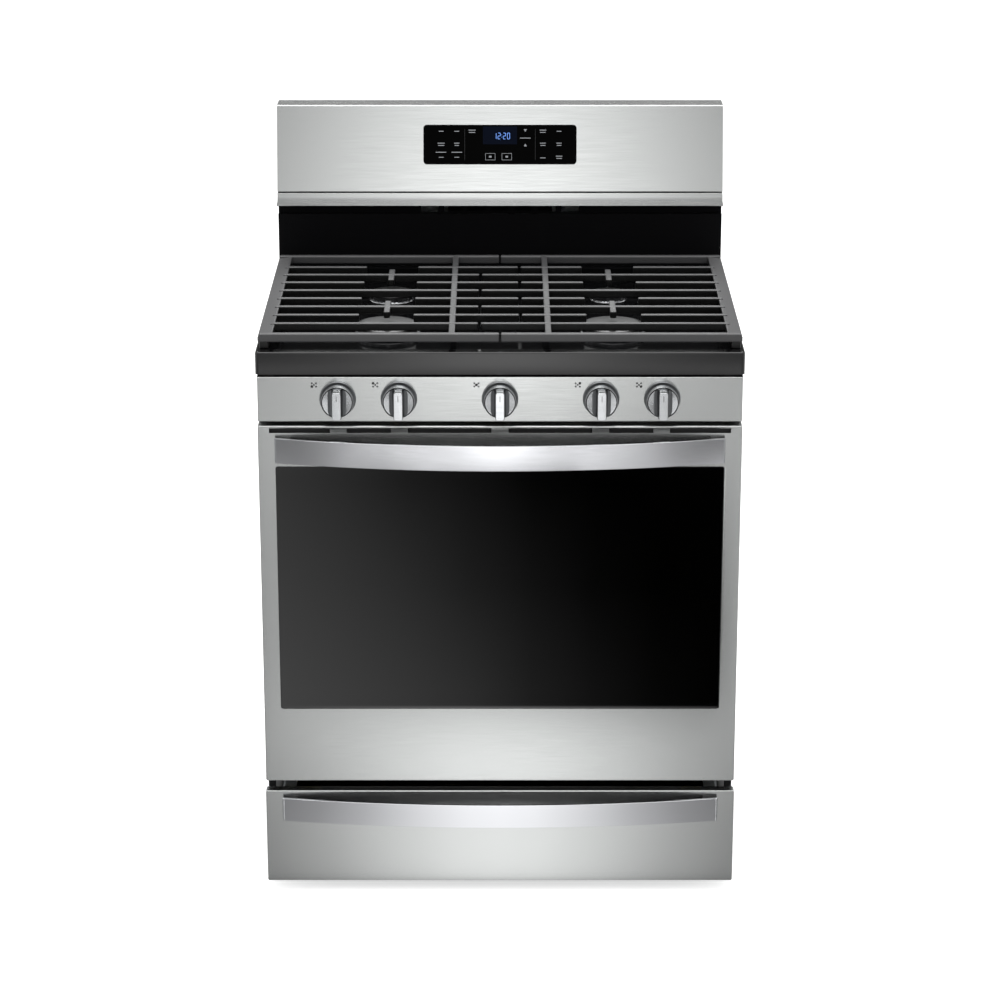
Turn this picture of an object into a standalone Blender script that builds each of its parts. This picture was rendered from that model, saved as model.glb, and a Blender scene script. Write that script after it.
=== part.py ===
"""Freestanding gas range: storage drawer, oven with a drop-down door, five burners and a backguard.

Metres, +Z up, front towards -Y, origin on the floor under the middle of the range. Depths are
measured back from the front face of the cooktop's band, so a point is (x, depth, z) below.
"""

import math

import bmesh
import bpy
from mathutils import Matrix, Vector

# Driving dimensions, metres.
FRONT_Y = -0.3025            # Y of the cooktop band's front face, where depth is 0
GAP = 0.0003                 # clearance between touching pieces
SHEET = 0.001                # steel sheet
HALF_WIDTH = 0.3795          # cooktop and backguard, centre to side
BODY_HALF = 0.3775           # body, centre to the outside of a side panel
BODY_FRONT = 0.0455          # depth of the body's front edge, behind the door
BODY_BACK = 0.6545
REAR = 0.660                 # depth of the rearmost fitting
REAR_PANEL = (0.6548, 0.6588)
SIDE_FOLD = 0.012            # how far a side panel's edges fold inwards
LEG_X = 0.33
LEG_DEPTH = {"front": 0.075, "rear": 0.600}
BASE_Z = 0.022
BODY_TOP = 0.877
COOKTOP_Z = (0.878, 0.914)   # band of the cooktop
WELL_Z = 0.894               # sunken floor of the cooktop
COOKTOP_BACK = 0.564
PANEL_Z = (0.802, 0.874)     # control panel
DOOR_Z = (0.196, 0.795)
DOOR_DEPTH = 0.038
DOOR_HALF = 0.378
WINDOW_HALF = 0.3514
WINDOW_Z = (0.321, 0.729)
VENT_X = ((0.0134, 0.1435), (0.170, 0.239), (0.265, 0.360))
VENT_Z = (0.784, 0.7905)
DRAWER_Z = (0.019, 0.1785)
DRAWER_HALF = 0.379
HANDLE_HALF = 0.352
HANDLE_END = 0.012           # how far a handle's ends stand out
HANDLE_THICK = 0.006
HANDLE_POST = 0.024          # width of the post at each end of a handle
CAVITY_HALF = 0.300
CAVITY_Z = (0.215, 0.715)
CAVITY_BACK = 0.530
MOUTH_Z = (0.262, 0.712)
MOUTH_HALF = 0.298
DOOR_PIVOT = (0.026, 0.212)  # depth and height of the door's hinge line
KNOB_Z = 0.839
KNOB_X = (-0.252, -0.157, 0.0, 0.157, 0.252)
KNOB_NAMES = ("left_front", "left_rear", "centre", "right_rear", "right_front")
GRATE_DEPTH = (0.0166, 0.533)
GRATE_TOP = 0.939            # also the height of the grates' shared hinge line, at X = 0
GRATE_LOW = 0.925
GRATE_HALF = 0.376
BAR_PITCH = 0.052
BAR_FIRST = 0.083            # depth of the front cross bar
BAR_COUNT = 8
DIVIDER_X = 0.075
BURNER_X = 0.180
BURNER_DEPTH = {"rear": 0.393, "front": 0.187}
CENTRE_DEPTH = 0.290
RACK_Z = (0.400, 0.540)      # undersides of the two racks
LAMP_PLACE = (-0.200, 0.525, 0.640)
PIPE_X = 0.350               # the supply pipe's run down the right-hand side
PIPE_DEPTH = 0.600
REGULATOR_X = 0.250
REGULATOR_Z = 0.120
POWER_PLACE = (-0.250, 0.220)
FACE_LOW = (0.567, 1.040)    # backguard face: depth and height of its lower edge
FACE_HIGH = (0.600, 1.177)
GUARD_TOP = 1.1825
STEPS = 24                   # sides of a round piece


def reset_scene():
    for obj in list(bpy.data.objects):
        bpy.data.objects.remove(obj)


def new_collection(name):
    group = bpy.data.collections.new(name)
    bpy.context.scene.collection.children.link(group)
    return group


def finish(name, color, roughness, metallic=0.0):
    material = bpy.data.materials.new(name)
    material.use_nodes = True
    shader = material.node_tree.nodes["Principled BSDF"]
    shader.inputs["Base Color"].default_value = (*color, 1.0)
    shader.inputs["Roughness"].default_value = roughness
    shader.inputs["Metallic"].default_value = metallic
    return material


reset_scene()
PARTS = new_collection("gas_range")
CUTTERS = new_collection("cutters")
STAINLESS = finish("stainless", (0.62, 0.62, 0.63), 0.30, 1.0)
POLISHED = finish("polished_stainless", (0.72, 0.72, 0.73), 0.12, 1.0)
BLACK_ENAMEL = finish("black_enamel", (0.02, 0.02, 0.022), 0.20)
GREY_ENAMEL = finish("grey_enamel", (0.08, 0.09, 0.11), 0.35)
CAST_IRON = finish("cast_iron", (0.05, 0.05, 0.052), 0.65)
ALUMINIUM = finish("aluminium", (0.75, 0.75, 0.76), 0.30, 1.0)
BLACK_GLASS = finish("black_glass", (0.01, 0.01, 0.012), 0.05)
GALVANISED = finish("galvanised", (0.45, 0.46, 0.47), 0.45, 1.0)
WIRE = finish("plated_wire", (0.65, 0.65, 0.66), 0.25, 1.0)
BRASS = finish("brass", (0.70, 0.55, 0.25), 0.35, 1.0)
RUBBER = finish("rubber", (0.03, 0.03, 0.03), 0.80)
GLASS_FIBRE = finish("glass_fibre", (0.75, 0.70, 0.50), 0.95)


def point(x, depth, z):
    return Vector((x, FRONT_Y + depth, z))


def add(name, mesh, material, group=PARTS):
    obj = bpy.data.objects.new(name, mesh)
    group.objects.link(obj)
    mesh.materials.append(material)
    if group is CUTTERS:
        obj.hide_render = True
        obj.display_type = "WIRE"
    return obj


def from_bmesh(name, bm, material, group=PARTS):
    mesh = bpy.data.meshes.new(name)
    bm.to_mesh(mesh)
    bm.free()
    return add(name, mesh, material, group)


def cube(x, depth, z):
    """A bmesh box between the given limits, each a (low, high) pair."""
    low = point(x[0], depth[0], z[0])
    high = point(x[1], depth[1], z[1])
    bm = bmesh.new()
    placed = Matrix.Translation((low + high) / 2) @ Matrix.Diagonal((high - low).to_4d())
    bmesh.ops.create_cube(bm, size=1.0, matrix=placed)
    return bm


def box(name, x, depth, z, material, group=PARTS):
    return from_bmesh(name, cube(x, depth, z), material, group)


def cutter(name, x, depth, z):
    return box("cut_" + name, x, depth, z, RUBBER, CUTTERS)


def boolean(obj, other, operation="DIFFERENCE"):
    modifier = obj.modifiers.new(other.name, "BOOLEAN")
    modifier.operation = operation
    modifier.object = other
    modifier.solver = "EXACT"


def tray(name, x, depth, z, open_sides, material, sheet=SHEET):
    """Folded sheet metal: a box without its open sides, walled inwards from the given limits."""
    bm = cube(x, depth, z)
    missing = [f for f in bm.faces if any(f.normal.dot(Vector(s)) > 0.9 for s in open_sides)]
    bmesh.ops.delete(bm, geom=missing, context="FACES_ONLY")
    obj = from_bmesh(name, bm, material)
    wall = obj.modifiers.new("sheet", "SOLIDIFY")
    wall.thickness = sheet
    wall.offset = -1.0
    wall.use_even_offset = True
    return obj


def turned(name, profile, material, place, facing_front=False, group=PARTS):
    """A profile of (radius, height) from its top to its bottom, turned about its own Z.

    A profile that ends where it starts is a ring round the axis.
    """
    mesh = bpy.data.meshes.new(name)
    edges = [(i, i + 1) for i in range(len(profile) - 1)]
    if profile[0] == profile[-1]:
        profile = profile[:-1]
        edges[-1] = (len(profile) - 1, 0)
    mesh.from_pydata([(r, 0.0, h) for r, h in profile], edges, [])
    obj = add(name, mesh, material, group)
    obj.location = place
    if facing_front:
        obj.rotation_euler.x = math.pi / 2
    screw = obj.modifiers.new("turn", "SCREW")
    screw.steps = STEPS
    screw.render_steps = STEPS
    screw.use_merge_vertices = True
    screw.merge_threshold = 0.00001
    return obj


def outline_curve(loops, thickness):
    """A flat filled 2D curve of closed loops of (x, y), extruded to a thickness about its plane."""
    curve = bpy.data.curves.new("outline", "CURVE")
    curve.dimensions = "2D"
    curve.fill_mode = "BOTH"
    curve.extrude = thickness / 2
    for loop in loops:
        spline = curve.splines.new("POLY")
        spline.points.add(len(loop) - 1)
        for knot, (x, y) in zip(spline.points, loop):
            knot.co = (x, y, 0.0, 1.0)
        spline.use_cyclic_u = True
    return curve


def curve_to_mesh(curve, matrix, merge=0.00001):
    """The welded mesh of a curve, placed by matrix."""
    source = bpy.data.objects.new("source", curve)
    bpy.context.scene.collection.objects.link(source)
    evaluated = source.evaluated_get(bpy.context.evaluated_depsgraph_get())
    mesh = bpy.data.meshes.new_from_object(evaluated)
    bpy.data.objects.remove(source)
    bm = bmesh.new()
    bm.from_mesh(mesh)
    bmesh.ops.remove_doubles(bm, verts=bm.verts, dist=merge)
    bmesh.ops.transform(bm, matrix=matrix, verts=bm.verts)
    bm.to_mesh(mesh)
    bm.free()
    return mesh


def flat_plate(name, loops, thickness, middle, material, upright=False, group=PARTS):
    """A flat outline, lying level, or upright with its second axis along Z."""
    turn = Matrix.Rotation(math.pi / 2, 4, "X") if upright else Matrix.Identity(4)
    mesh = curve_to_mesh(outline_curve(loops, thickness), Matrix.Translation(middle) @ turn)
    mesh.materials.clear()
    return add(name, mesh, material, group)


def tube(name, route, radius, material, group=PARTS):
    curve = bpy.data.curves.new(name, "CURVE")
    curve.dimensions = "3D"
    curve.bevel_depth = radius
    curve.bevel_resolution = 2
    curve.use_fill_caps = True
    spline = curve.splines.new("POLY")
    spline.points.add(len(route) - 1)
    for knot, place in zip(spline.points, route):
        knot.co = (*place, 1.0)
    mesh = curve_to_mesh(curve, Matrix.Identity(4))
    mesh.materials.clear()
    return add(name, mesh, material, group)


def rectangle(half_x, low, high):
    return [(-half_x, low), (half_x, low), (half_x, high), (-half_x, high)]


def rounded(half_x, low, high, radius, corner_steps=4):
    """A rectangle's outline with round corners."""
    loop = []
    corners = [(1, high, 0), (-1, high, 90), (-1, low, 180), (1, low, 270)]
    for side, y, start in corners:
        inward = -1 if y == high else 1
        for i in range(corner_steps + 1):
            angle = math.radians(start + 90 * i / corner_steps)
            x = side * (half_x - radius) + radius * math.cos(angle)
            loop.append((x, y + inward * radius + radius * math.sin(angle)))
    return loop


def stadium(half_x, half_y, steps=10):
    """A slot outline with half-round ends, longer in y."""
    straight = half_y - half_x
    loop = []
    for i in range(steps + 1):
        angle = math.pi * i / steps
        loop.append((half_x * math.cos(angle), straight + half_x * math.sin(angle)))
    for i in range(steps + 1):
        angle = math.pi + math.pi * i / steps
        loop.append((half_x * math.cos(angle), -straight + half_x * math.sin(angle)))
    return loop


def hold(axis_name, place, names):
    """Parents the named objects to an empty on their joint's axis, leaving them where they are."""
    empty = bpy.data.objects.new(axis_name, None)
    empty.location = place
    PARTS.objects.link(empty)
    for name in names:
        child = bpy.data.objects[name]
        child.parent = empty
        child.matrix_parent_inverse = Matrix.Translation(place).inverted()
    return empty


def make_body():
    for side, word in ((-1, "left"), (1, "right")):
        x = sorted((side * (BODY_HALF - SIDE_FOLD), side * BODY_HALF))
        tray(f"side_panel_{word}", x, (BODY_FRONT, BODY_BACK), (BASE_Z, BODY_TOP),
             [(-side, 0, 0)], BLACK_ENAMEL)
    rear = tray("rear_panel", (-BODY_HALF, BODY_HALF), REAR_PANEL, (0.160, BODY_TOP),
                [(0, -1, 0)], GALVANISED)
    for i in range(6):
        x = -0.15 + 0.06 * i
        boolean(rear, cutter(f"louvre_{i}", (x - 0.02, x + 0.02), (0.64, 0.67), (0.70, 0.706)))
    boolean(rear, cutter("gland", (-0.2605, -0.2395), (0.64, 0.67), (0.2095, 0.2305)))
    make_base_frame()
    make_front_frame()
    for side, across in ((-1, "left"), (1, "right")):
        for along, depth in LEG_DEPTH.items():
            profile = [(0, 0.0230), (0.005, 0.0230), (0.005, 0.010), (0.017, 0.008),
                       (0.019, 0.0), (0, 0)]
            turned(f"levelling_leg_{along}_{across}", profile, RUBBER, point(side * LEG_X, depth, 0))


def make_base_frame():
    """The bottom ring: an angle of folded steel all round, which the legs screw into."""
    depth = (0.047, 0.650)
    ring = tray("base_frame", (-0.3760, 0.3760), depth, (0.0233, 0.048), [(0, 0, 1)], GALVANISED, 0.0015)
    boolean(ring, cutter("base_middle", (-0.3400, 0.3400), (depth[0] + 0.025, depth[1] - 0.025), (0, 0.1)))


def make_front_frame():
    """The flat frame round the oven's mouth that the door's gasket closes on."""
    loops = [rectangle(0.3772, 0.190, 0.797), rectangle(MOUTH_HALF, *MOUTH_Z)]
    flat_plate("oven_front_frame", loops, 0.0012, point(0, 0.0446, 0), GREY_ENAMEL, upright=True)


def make_oven():
    liner = tray("oven_liner", (-CAVITY_HALF, CAVITY_HALF), (BODY_FRONT, CAVITY_BACK), CAVITY_Z,
                 [(0, -1, 0)], GREY_ENAMEL, 0.0012)
    for level, z in enumerate((0.330, *RACK_Z, 0.610)):
        for side in (-1, 1):
            x = sorted((side * 0.2870, side * 0.2994))
            rail = box(f"rail_{level}_{side}", x, (0.07, 0.50), (z - 0.008, z - GAP),
                       GREY_ENAMEL, CUTTERS)
            boolean(liner, rail, "UNION")
    boolean(liner, cutter("lamp", (-0.226, -0.174), (0.50, 0.55), (0.614, 0.666)))
    boolean(liner, cutter("flue", (-0.0897, 0.0897), (0.47, 0.51), (0.70, 0.73)))
    tray("oven_floor", (-0.2980, 0.2980), (0.050, 0.5280), (0.2620, 0.2700),
         [(0, 0, -1)], GREY_ENAMEL, 0.0012)
    for z, word in zip(RACK_Z, ("lower", "upper")):
        make_rack(f"oven_rack_{word}", z)
    make_oven_burners()
    wool = tray("oven_insulation", (-0.335, 0.335), (0.047, 0.560), (0.2205, 0.7455),
                [(0, -1, 0), (0, 0, -1)], GLASS_FIBRE, 0.028)
    boolean(wool, cutter("insulation_flue", (-0.0925, 0.0925), (0.468, 0.512), (0.70, 0.76)))
    boolean(wool, cutter("insulation_lamp", (-0.228, -0.172), (0.520, 0.57), (0.612, 0.668)))
    profile = [(0, 0.012), (0.018, 0.010), (0.0245, 0.003), (0.0245, -0.045), (0, -0.045)]
    turned("oven_lamp", profile, BLACK_GLASS, point(*LAMP_PLACE), facing_front=True)
    make_flue_duct()


def make_flue_duct():
    """A flat duct that takes the oven's fumes up, back and up again to the riser's slots."""
    outer = (-0.0890, 0.0890)
    inner = (-0.0880, 0.0880)
    duct = box("flue_duct", outer, (0.4710, 0.5090), (0.7160, 0.8550), GALVANISED)
    boolean(duct, cutter("duct_up", inner, (0.4720, 0.5080), (0.70, 0.854)))
    run = box("duct_run", outer, (0.4900, 0.6300), (0.8000, 0.8550), GALVANISED, CUTTERS)
    boolean(duct, run, "UNION")
    rise = box("duct_rise", outer, (0.5800, 0.6310), (0.8200, 1.0050), GALVANISED, CUTTERS)
    boolean(duct, rise, "UNION")
    boolean(duct, cutter("duct_run", inner, (0.4722, 0.6290), (0.8012, 0.8540)))
    boolean(duct, cutter("duct_rise", inner, (0.5812, 0.6298), (0.8212, 1.0100)))


def make_rack(name, z):
    """A wire rack: a rim, wires from front to back and one cross wire."""
    slots = 15
    rim = 0.008
    wire = 0.005
    half = 0.2960
    front = FRONT_Y + 0.075
    back = FRONT_Y + 0.505
    middle = (front + back) / 2
    pitch = (2 * half - 2 * rim + wire) / slots
    loops = [rectangle(half, front, back)]
    for i in range(slots):
        left = -half + rim + i * pitch
        for low, high in ((front + rim, middle - wire / 2), (middle + wire / 2, back - rim)):
            right = left + pitch - wire
            loops.append([(left, low), (right, low), (right, high), (left, high)])
    flat_plate(name, loops, 0.006, Vector((0, 0, z + 0.003)), WIRE)


def make_oven_burners():
    bake = [(-0.05, 0.490), (-0.05, 0.16), (-0.035, 0.13), (0.035, 0.13), (0.05, 0.16), (0.05, 0.490)]
    tube("bake_burner", [point(x, d, 0.240) for x, d in bake], 0.011, GALVANISED)
    broil = [(-0.12, 0.490), (-0.12, 0.14), (-0.10, 0.11), (0.10, 0.11), (0.12, 0.14), (0.12, 0.490)]
    tube("broil_burner", [point(x, d, 0.685) for x, d in broil], 0.009, GALVANISED)


def make_cooktop():
    """A pressed pan: a band all round, a rim that slopes down, and a sunken well."""
    bm = cube((-HALF_WIDTH, HALF_WIDTH), (0, COOKTOP_BACK), COOKTOP_Z)
    under = [f for f in bm.faces if f.normal.z < -0.9]
    bmesh.ops.delete(bm, geom=under, context="FACES_ONLY")
    top = next(f for f in bm.faces if f.normal.z > 0.9)
    for inset, drop in ((0.020, 0.0), (0.010, COOKTOP_Z[1] - WELL_Z)):
        bmesh.ops.inset_region(bm, faces=[top], thickness=inset, use_even_offset=True)
        bmesh.ops.translate(bm, verts=top.verts, vec=(0, 0, -drop))
    pan = from_bmesh("cooktop", bm, BLACK_ENAMEL)
    wall = pan.modifiers.new("sheet", "SOLIDIFY")
    wall.thickness = 0.0014
    wall.offset = -1.0
    wall.use_even_offset = True
    for name, place in burner_places().items():
        profile = [(0, 0.02), (0.027, 0.02), (0.027, -0.02), (0, -0.02)]
        hole = turned(f"cut_{name}", profile, RUBBER, place, group=CUTTERS)
        boolean(pan, hole)
    slot = flat_plate("cut_centre", [stadium(0.018, 0.070)], 0.04,
                      point(0, CENTRE_DEPTH, WELL_Z), RUBBER, group=CUTTERS)
    boolean(pan, slot)


def burner_places():
    """Where the four round burners stand on the cooktop's well."""
    places = {}
    for row, depth in BURNER_DEPTH.items():
        for side, word in ((-1, "left"), (1, "right")):
            places[f"{row}_{word}"] = point(side * BURNER_X, depth, WELL_Z)
    return places


def make_burners():
    cap_radius = {"front_left": 0.051, "front_right": 0.051, "rear_left": 0.037, "rear_right": 0.030}
    for name, place in burner_places().items():
        r = cap_radius[name]
        head = [(0, 0.0108), (r, 0.0108), (r + 0.001, 0.006), (r + 0.001, 0.003), (0.050, 0.002),
                (0.050, GAP), (0.0262, GAP), (0.0262, -0.022), (0, -0.022)]
        if r > 0.05:
            head[4:6] = [(r + 0.003, 0.002), (r + 0.003, GAP)]
        turned(f"burner_head_{name}", head, ALUMINIUM, place)
        cap = [(0, 0.0170), (r - 0.004, 0.0168), (r, 0.0150), (r, 0.0111), (0, 0.0111)]
        turned(f"burner_cap_{name}", cap, CAST_IRON, place)
    middle = point(0, CENTRE_DEPTH, WELL_Z)
    head = flat_plate("burner_head_centre", [stadium(0.027, 0.090)], 0.0102,
                      middle + Vector((0, 0, 0.0054)), ALUMINIUM)
    throat = flat_plate("throat", [stadium(0.0172, 0.0692)], 0.030,
                        middle + Vector((0, 0, -0.007)), ALUMINIUM, group=CUTTERS)
    boolean(head, throat, "UNION")
    flat_plate("burner_cap_centre", [stadium(0.028, 0.091)], 0.0059,
               middle + Vector((0, 0, 0.01375)), CAST_IRON)


def make_grate(word, side):
    """One cast grate half: a rim, a divider, eight cross bars and two fingers over the burners."""
    top = GRATE_TOP
    low = GRATE_LOW
    front, back = GRATE_DEPTH
    inner = 0.0008

    def bar(name, x, depth, z, material=CAST_IRON):
        return box(f"{word}_{name}", sorted((side * x[0], side * x[1])), depth, z, material, CUTTERS)

    grate = box(f"grate_{word}", sorted((side * 0.353, side * GRATE_HALF)), (front, back),
                (low, top - 0.0003), CAST_IRON)
    pieces = [bar("front", (inner, 0.370), (front, front + 0.012), (low, top - 0.0006)),
              bar("back", (inner, 0.370), (back - 0.012, back), (low, top - 0.0006)),
              bar("divider", (DIVIDER_X - 0.005, DIVIDER_X + 0.005), (front + 0.004, back - 0.004),
                  (low - 0.001, top - 0.0009))]
    for i in range(BAR_COUNT):
        depth = BAR_FIRST + BAR_PITCH * i
        limits = (depth - 0.0045, depth + 0.0045)
        z = (low + 0.002, top)
        # Counted from the back, odd rows are broken over the burners and the left half's reach
        # past the centre line; the right half's even rows reach past it the other way.
        odd = (BAR_COUNT - i) % 2 == 1
        reaches = odd == (side < 0)
        inside = -0.030 if reaches else 0.0345
        if odd:
            pieces.append(bar(f"row_{i}_inner", (inside, BURNER_X - 0.043), limits, z))
            pieces.append(bar(f"row_{i}_outer", (BURNER_X + 0.043, 0.360), limits, z))
        else:
            pieces.append(bar(f"row_{i}", (inside, 0.360), limits, z))
    for row in (2, 6):
        depth = BAR_FIRST + BAR_PITCH * (BAR_COUNT - row)
        pieces.append(bar(f"finger_{row}", (BURNER_X - 0.005, BURNER_X + 0.005),
                          (depth - 0.035, depth + 0.035), (low + 0.003, top - 0.0003)))
    for depth in (front + 0.004, back - 0.024):
        pieces.append(bar(f"foot_{depth:.3f}", (0.3585, 0.374), (depth, depth + 0.020),
                          (COOKTOP_Z[1] + GAP, low + 0.004)))
    for piece in pieces:
        boolean(grate, piece, "UNION")
    hold(f"grate_{word}_axis", point(0, (front + back) / 2, GRATE_TOP), [grate.name])


def make_controls():
    panel = tray("control_panel", (-0.377, 0.377), (0, 0.042), PANEL_Z, [(0, 1, 0)], STAINLESS)
    for x in KNOB_X:
        hole = turned(f"cut_stem_{x}", [(0, 0.02), (0.005, 0.02), (0.005, -0.02), (0, -0.02)],
                      RUBBER, point(x, 0, KNOB_Z), facing_front=True, group=CUTTERS)
        boolean(panel, hole)
    make_manifold()
    for x, word in zip(KNOB_X, KNOB_NAMES):
        make_knob(x, word)


def make_manifold():
    """The gas rail with its valves, and the supply pipe down the right-hand side to the regulator."""
    bend = 0.015
    route = [(-0.33, 0.075, KNOB_Z), (PIPE_X - bend, 0.075, KNOB_Z), (PIPE_X, 0.075 + bend, KNOB_Z),
             (PIPE_X, PIPE_DEPTH - bend, KNOB_Z), (PIPE_X, PIPE_DEPTH, KNOB_Z - bend),
             (PIPE_X, PIPE_DEPTH, REGULATOR_Z + bend), (PIPE_X - 0.008, PIPE_DEPTH, REGULATOR_Z),
             (0.2823, PIPE_DEPTH, REGULATOR_Z)]
    rail = tube("gas_manifold", [point(*p) for p in route], 0.0065, ALUMINIUM)
    for x in KNOB_X:
        valve = box(f"valve_{x}", (x - 0.013, x + 0.013), (0.0445, 0.0745),
                    (KNOB_Z - 0.016, KNOB_Z + 0.016), ALUMINIUM, CUTTERS)
        boolean(rail, valve, "UNION")


def make_knob(x, word):
    """A valve stem, and the knob on it: a disc with a tall grip bar across it."""
    axis = point(x, 0, KNOB_Z)
    stem = [(0, 0.0300), (0.0040, 0.0300), (0.0040, -0.0400), (0, -0.0400)]
    turned(f"valve_stem_{word}", stem, ALUMINIUM, axis, facing_front=True)
    disc = [(0, 0.0340), (0.0120, 0.0340), (0.0120, 0.0230), (0.0235, 0.0230), (0.0250, 0.0215),
            (0.0250, 0.0078), (0.0043, 0.0078), (0.0043, 0.0305), (0, 0.0305)]
    knob = turned(f"knob_{word}", disc, STAINLESS, axis, facing_front=True)
    grip = box(f"grip_{word}", (x - 0.0065, x + 0.0065), (-0.0460, -0.0310),
               (KNOB_Z - 0.0225, KNOB_Z + 0.0225), STAINLESS, CUTTERS)
    skirt = box(f"grip_skirt_{word}", (x - 0.0062, x + 0.0062), (-0.0320, -0.0225),
                (KNOB_Z - 0.0220, KNOB_Z + 0.0220), STAINLESS, CUTTERS)
    boolean(knob, grip, "UNION")
    boolean(knob, skirt, "UNION")
    bore = turned(f"cut_bore_{word}", [(0, 0.0305), (0.0043, 0.0305), (0.0043, 0.0050), (0, 0.0050)],
                  RUBBER, axis, facing_front=True, group=CUTTERS)
    boolean(knob, bore)


def guard_prism(name, outline, half, material, open_faces, sheet=SHEET):
    """A side outline of (depth, z) drawn out to both sides, some of its faces left open."""
    bm = bmesh.new()
    left = [bm.verts.new(point(-half, d, z)) for d, z in outline]
    cap = bm.faces.new(left)
    drawn = bmesh.ops.extrude_face_region(bm, geom=[cap])["geom"]
    moved = [g for g in drawn if isinstance(g, bmesh.types.BMVert)]
    bmesh.ops.translate(bm, verts=moved, vec=(2 * half, 0, 0))
    bmesh.ops.recalc_face_normals(bm, faces=bm.faces)
    missing = [f for f in bm.faces if open_faces(f)]
    bmesh.ops.delete(bm, geom=missing, context="FACES_ONLY")
    obj = from_bmesh(name, bm, material)
    wall = obj.modifiers.new("sheet", "SOLIDIFY")
    wall.thickness = sheet
    wall.offset = -1.0
    wall.use_even_offset = True
    return obj


def faces_back_or_down(face):
    return face.normal.y > 0.9 or face.normal.z < -0.9


def make_backguard():
    shell = [(0.652, GUARD_TOP - 0.001), (0.608, GUARD_TOP), FACE_HIGH, FACE_LOW, (0.5685, 1.0385),
             (0.5665, 1.030), (0.560, 1.0165), (0.652, 1.0165)]
    guard = guard_prism("backguard_shell", shell, HALF_WIDTH, STAINLESS, faces_back_or_down)
    boolean(guard, cutter("display", (-0.110, 0.110), (0.55, 0.61), (1.096, 1.140)))
    box("backguard_rear_cover", (-HALF_WIDTH, HALF_WIDTH), (0.6523, 0.6533), (0.886, GUARD_TOP - 0.001),
        GALVANISED)
    riser = [(0.652, 1.0157), (0.5745, 1.0157), (0.5745, 1.002), (0.5645, 1.002), (0.5645, 0.8800),
             (0.652, 0.8800)]
    black = guard_prism("riser", riser, 0.3785, BLACK_ENAMEL, faces_back_or_down)
    boolean(black, cutter("riser_top", (-0.30, 0.30), (0.582, 0.645), (1.01, 1.02)))
    for i in range(7):
        x = -0.12 + 0.04 * i
        boolean(black, cutter(f"flue_slot_{i}", (x - 0.015, x + 0.015), (0.570, 0.578), (1.004, 1.013)))
    make_display()


def make_display():
    """The touch glass, flat on the leaning face."""
    rise = FACE_HIGH[1] - FACE_LOW[1]
    lean = math.atan2(FACE_HIGH[0] - FACE_LOW[0], rise)
    middle_z = 1.1178
    middle_depth = FACE_LOW[0] + (middle_z - FACE_LOW[1]) * math.tan(lean)
    outward = Vector((0, -math.cos(lean), math.sin(lean)))
    middle = point(0, middle_depth, middle_z) + outward * (0.0010 + GAP)
    glass = flat_plate("display_glass", [rounded(0.1303, -0.0335, 0.0335, 0.005)], 0.0020,
                       Vector((0, 0, 0)), BLACK_GLASS, upright=True)
    glass.location = middle
    glass.rotation_euler.x = -lean


def bowed_handle(name, z, bow):
    """A flat strap bowed forward in the middle, with a post at each end back to the panel."""
    steps = 20
    front = []
    back = []
    inner = HANDLE_HALF - HANDLE_POST
    for i in range(steps + 1):
        x = -HANDLE_HALF + 2 * HANDLE_HALF * i / steps
        front.append((x, -HANDLE_END - bow * (1 - (x / HANDLE_HALF) ** 2)))
    for i in range(steps + 1):
        x = inner - 2 * inner * i / steps
        back.append((x, HANDLE_THICK - HANDLE_END - bow * (1 - (x / HANDLE_HALF) ** 2)))
    posts_right = [(HANDLE_HALF, -GAP), (inner, -GAP)]
    posts_left = [(-inner, -GAP), (-HANDLE_HALF, -GAP)]
    loop = [(x, FRONT_Y + d) for x, d in front + posts_right + back + posts_left]
    flat_plate(name, [loop], z[1] - z[0], Vector((0, 0, (z[0] + z[1]) / 2)), POLISHED)


def make_door():
    skin = tray("door_skin", (-DOOR_HALF, DOOR_HALF), (0, 0.030), DOOR_Z, [(0, 1, 0)], STAINLESS)
    boolean(skin, cutter("window", (-WINDOW_HALF, WINDOW_HALF), (-0.01, 0.01), WINDOW_Z))
    for side in (-1, 1):
        for i, (near, far) in enumerate(VENT_X):
            x = sorted((side * near, side * far))
            boolean(skin, cutter(f"vent_{side}_{i}", x, (-0.01, 0.01), VENT_Z))
        notch = sorted((side * 0.3555, side * 0.3705))
        boolean(skin, cutter(f"hinge_notch_{side}", notch, (0.012, 0.04), (0.19, 0.20)))
    window = rounded(WINDOW_HALF - GAP, WINDOW_Z[0] + GAP, WINDOW_Z[1] - GAP, 0.004, 2)
    flat_plate("door_outer_glass", [window], 0.004, point(0, 0.0025, 0), BLACK_GLASS, upright=True)
    inner = tray("door_inner_panel", (-0.350, 0.350), (0.0080, DOOR_DEPTH), (0.206, 0.786),
                 [(0, -1, 0)], GREY_ENAMEL)
    boolean(inner, cutter("inner_window", (-0.215, 0.215), (0.03, 0.05), (0.40, 0.62)))
    pin_hole = turned("cut_pin_hole", [(0, 0.40), (0.0045, 0.40), (0.0045, -0.40), (0, -0.40)],
                      RUBBER, point(0, *DOOR_PIVOT), group=CUTTERS)
    pin_hole.rotation_euler.y = math.pi / 2
    boolean(inner, pin_hole)
    box("door_inner_glass", (-0.225, 0.225), (0.0327, 0.0367), (0.39, 0.63), BLACK_GLASS)
    loops = [rectangle(0.318, 0.240, 0.732), rectangle(0.306, 0.252, 0.720)]
    flat_plate("door_gasket", loops, 0.0050, point(0, 0.0409, 0), RUBBER, upright=True)
    bowed_handle("door_handle", (0.738, 0.778), 0.043)
    for side, word in ((-1, "left"), (1, "right")):
        make_hinge(side, word)
    hold("door_axis", point(0, *DOOR_PIVOT),
         ["door_skin", "door_outer_glass", "door_inner_panel", "door_inner_glass", "door_gasket",
          "door_handle"])


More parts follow.
